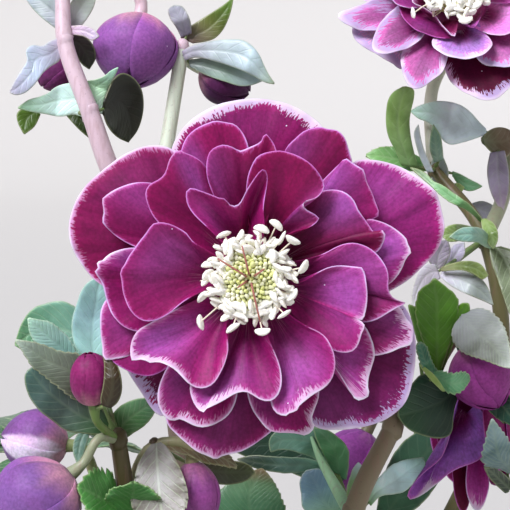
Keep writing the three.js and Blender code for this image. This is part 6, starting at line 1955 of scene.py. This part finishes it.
class HELLEBORE_OT_soil(bpy.types.Operator):
    """Fill the pot with soil and scatter crumbs over its top"""

    bl_idname = "hellebore.soil"
    bl_label = "Potting Soil"

    def execute(self, context):
        sizes, _, made = settings(context)
        low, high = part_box("soil")
        radius = high.x / MM
        top = SOIL_TOP
        rings, spokes = 64, 180
        share = np.linspace(0, 1, rings + 1)[1:, None]
        turn = 2 * np.pi * np.arange(spokes)[None, :] / spokes
        r = radius * share + 0 * turn
        x, y = r * np.cos(turn), r * np.sin(turn)
        z = top + 4 * (1 - smooth(0.3, 0.95, share)) + 0.9 * np.sin(x * 0.21 + 1) * np.cos(y * 0.17)
        z = z + 0.5 * np.sin(x * 0.6 + y * 0.35) * np.cos(y * 0.52 - x * 0.2)
        z = z + 0.3 * np.sin(x * 1.5) * np.sin(y * 1.3 + 2)
        z = np.where(share > 0.97, np.minimum(z, top), z)
        surface = np.stack([x, y, z], -1).reshape(-1, 3)
        floor = low.z / MM
        narrow = pot_outer(floor) - 9
        base = np.stack([np.cos(turn[0]) * narrow, np.sin(turn[0]) * narrow, 0 * turn[0] + floor], 1)
        points = np.vstack([[[0, 0, top + 4]], surface, base, [[0, 0, floor]]])
        faces = []
        for i in range(spokes):
            j = (i + 1) % spokes
            faces.append([0, 1 + i, 1 + j])
            for k in range(rings):
                a = 1 + k * spokes
                faces.append([a + i, a + spokes + i, a + spokes + j, a + j])
            a = 1 + rings * spokes
            faces.append([a + i, len(points) - 1, a + j])
        skin = Skin()
        skin.add(points, faces, (0, 0, 0), (0, 0, 0), (0, 0, 0))
        bed = skin.build("soil_bed", made["soil"])
        crumbs = grow("soil_crumbs", bed.data.copy(), crumb_tree(), Crumb=sizes.crumb, Material=made["soil"])
        settle(bed, "soil", "soil")
        settle(crumbs, "soil", "soil")
        return {"FINISHED"}


class HELLEBORE_OT_stage(bpy.types.Operator):
    """Set the pale floor, the soft light and the camera"""

    bl_idname = "hellebore.stage"
    bl_label = "Stage"

    def execute(self, context):
        # metres: a flat disc whose side curves up into a wall
        reach, curve, wall, sides = 4.5, 1.5, 3, 96
        profile = [(reach, 0)]
        for a in np.linspace(0.1, math.pi / 2, 12):
            profile.append((reach + curve * math.sin(a), curve - curve * math.cos(a)))
        profile.append((reach + curve, wall))
        turns = [2 * math.pi * i / sides for i in range(sides)]
        points = [(0, 0, 0)] + [(r * math.cos(a), r * math.sin(a), z) for r, z in profile for a in turns]
        around = [(i, (i + 1) % sides) for i in range(sides)]
        faces = [(0, 1 + i, 1 + j) for i, j in around]
        for low in range(1, 1 + sides * (len(profile) - 1), sides):
            faces += [(low + i, low + sides + i, low + sides + j, low + j) for i, j in around]
        mesh = bpy.data.meshes.new("floor")
        mesh.from_pydata(points, [], faces)
        mesh.shade_smooth()
        paper, _, _ = new_material("Pale seamless paper", {"Roughness": 0.9, "Base Color": linear("#c3c2bc")})
        mesh.materials.append(paper)
        floor = bpy.data.objects.new("floor", mesh)
        context.scene.collection.objects.link(floor)

        for name, aim, power, angle, tint in (
            ("Key light", vec(0.45, 0.5, -0.74), 4.2, 30, "#f6f4ff"),
            ("Fill light", vec(-0.7, 0.75, -0.2), 0.5, 60, "#fff2ea"),
        ):
            lamp = bpy.data.lights.new(name, "SUN")
            lamp.energy = power
            lamp.angle = math.radians(angle)
            lamp.color = linear(tint)
            holder = bpy.data.objects.new(name, lamp)
            holder.rotation_euler = Vector(aim).to_track_quat("-Z", "Y").to_euler()
            context.scene.collection.objects.link(holder)

        world = bpy.data.worlds.new("Soft room")
        context.scene.world = world
        world.use_nodes = True
        sky = world.node_tree.nodes["Background"]
        sky.inputs[0].default_value = (*linear("#e4e8f2"), 1)
        sky.inputs[1].default_value = 0.4

        camera = bpy.data.cameras.new("Camera")
        camera.sensor_width = 36
        camera.lens = 36 * SIGHT / FRAME_WIDE
        camera.clip_start = 0.01
        camera.clip_end = 50
        eye = bpy.data.objects.new("Camera", camera)
        axes = Matrix([RIGHT.tolist(), UP.tolist(), OUT.tolist()]).transposed()
        eye.matrix_world = Matrix.Translation((EYE * MM).tolist()) @ axes.to_4x4()
        context.scene.collection.objects.link(eye)
        context.scene.camera = eye
        context.scene.view_settings.view_transform = "Standard"
        return {"FINISHED"}


class HELLEBORE_PT_panel(bpy.types.Panel):
    """Lists what can be grown and the sizes and colours that it takes"""

    bl_idname = "HELLEBORE_PT_panel"
    bl_label = "Potted Hellebore"
    bl_space_type = "VIEW_3D"
    bl_region_type = "UI"
    bl_category = "Hellebore"

    def draw(self, context):
        layout = self.layout
        for operator in OPERATORS:
            layout.operator(operator.bl_idname)
        for group in (context.scene.hellebore_sizes, context.scene.hellebore_colours):
            box = layout.box()
            for name in group.bl_rna.properties.keys():
                if name not in ("rna_type", "name"):
                    box.prop(group, name)


OPERATORS = (
    HELLEBORE_OT_open_bloom,
    HELLEBORE_OT_back_bloom,
    HELLEBORE_OT_nodding_bloom,
    HELLEBORE_OT_buds,
    HELLEBORE_OT_stems,
    HELLEBORE_OT_leaves,
    HELLEBORE_OT_pot,
    HELLEBORE_OT_soil,
    HELLEBORE_OT_stage,
)
CLASSES = (HelleboreSizes, HelleboreColours, *OPERATORS, HELLEBORE_PT_panel)


def register():
    for cls in CLASSES:
        bpy.utils.register_class(cls)
    bpy.types.Scene.hellebore_sizes = PointerProperty(type=HelleboreSizes)
    bpy.types.Scene.hellebore_colours = PointerProperty(type=HelleboreColours)


def unregister():
    del bpy.types.Scene.hellebore_colours
    del bpy.types.Scene.hellebore_sizes
    for cls in reversed(CLASSES):
        bpy.utils.unregister_class(cls)


def main():
    register()
    bpy.ops.hellebore.open_bloom()
    bpy.ops.hellebore.back_bloom()
    bpy.ops.hellebore.nodding_bloom()
    bpy.ops.hellebore.buds()
    bpy.ops.hellebore.stems()
    bpy.ops.hellebore.leaves()
    bpy.ops.hellebore.pot()
    bpy.ops.hellebore.soil()
    bpy.ops.hellebore.stage()


if __name__ == "__main__":
    main()
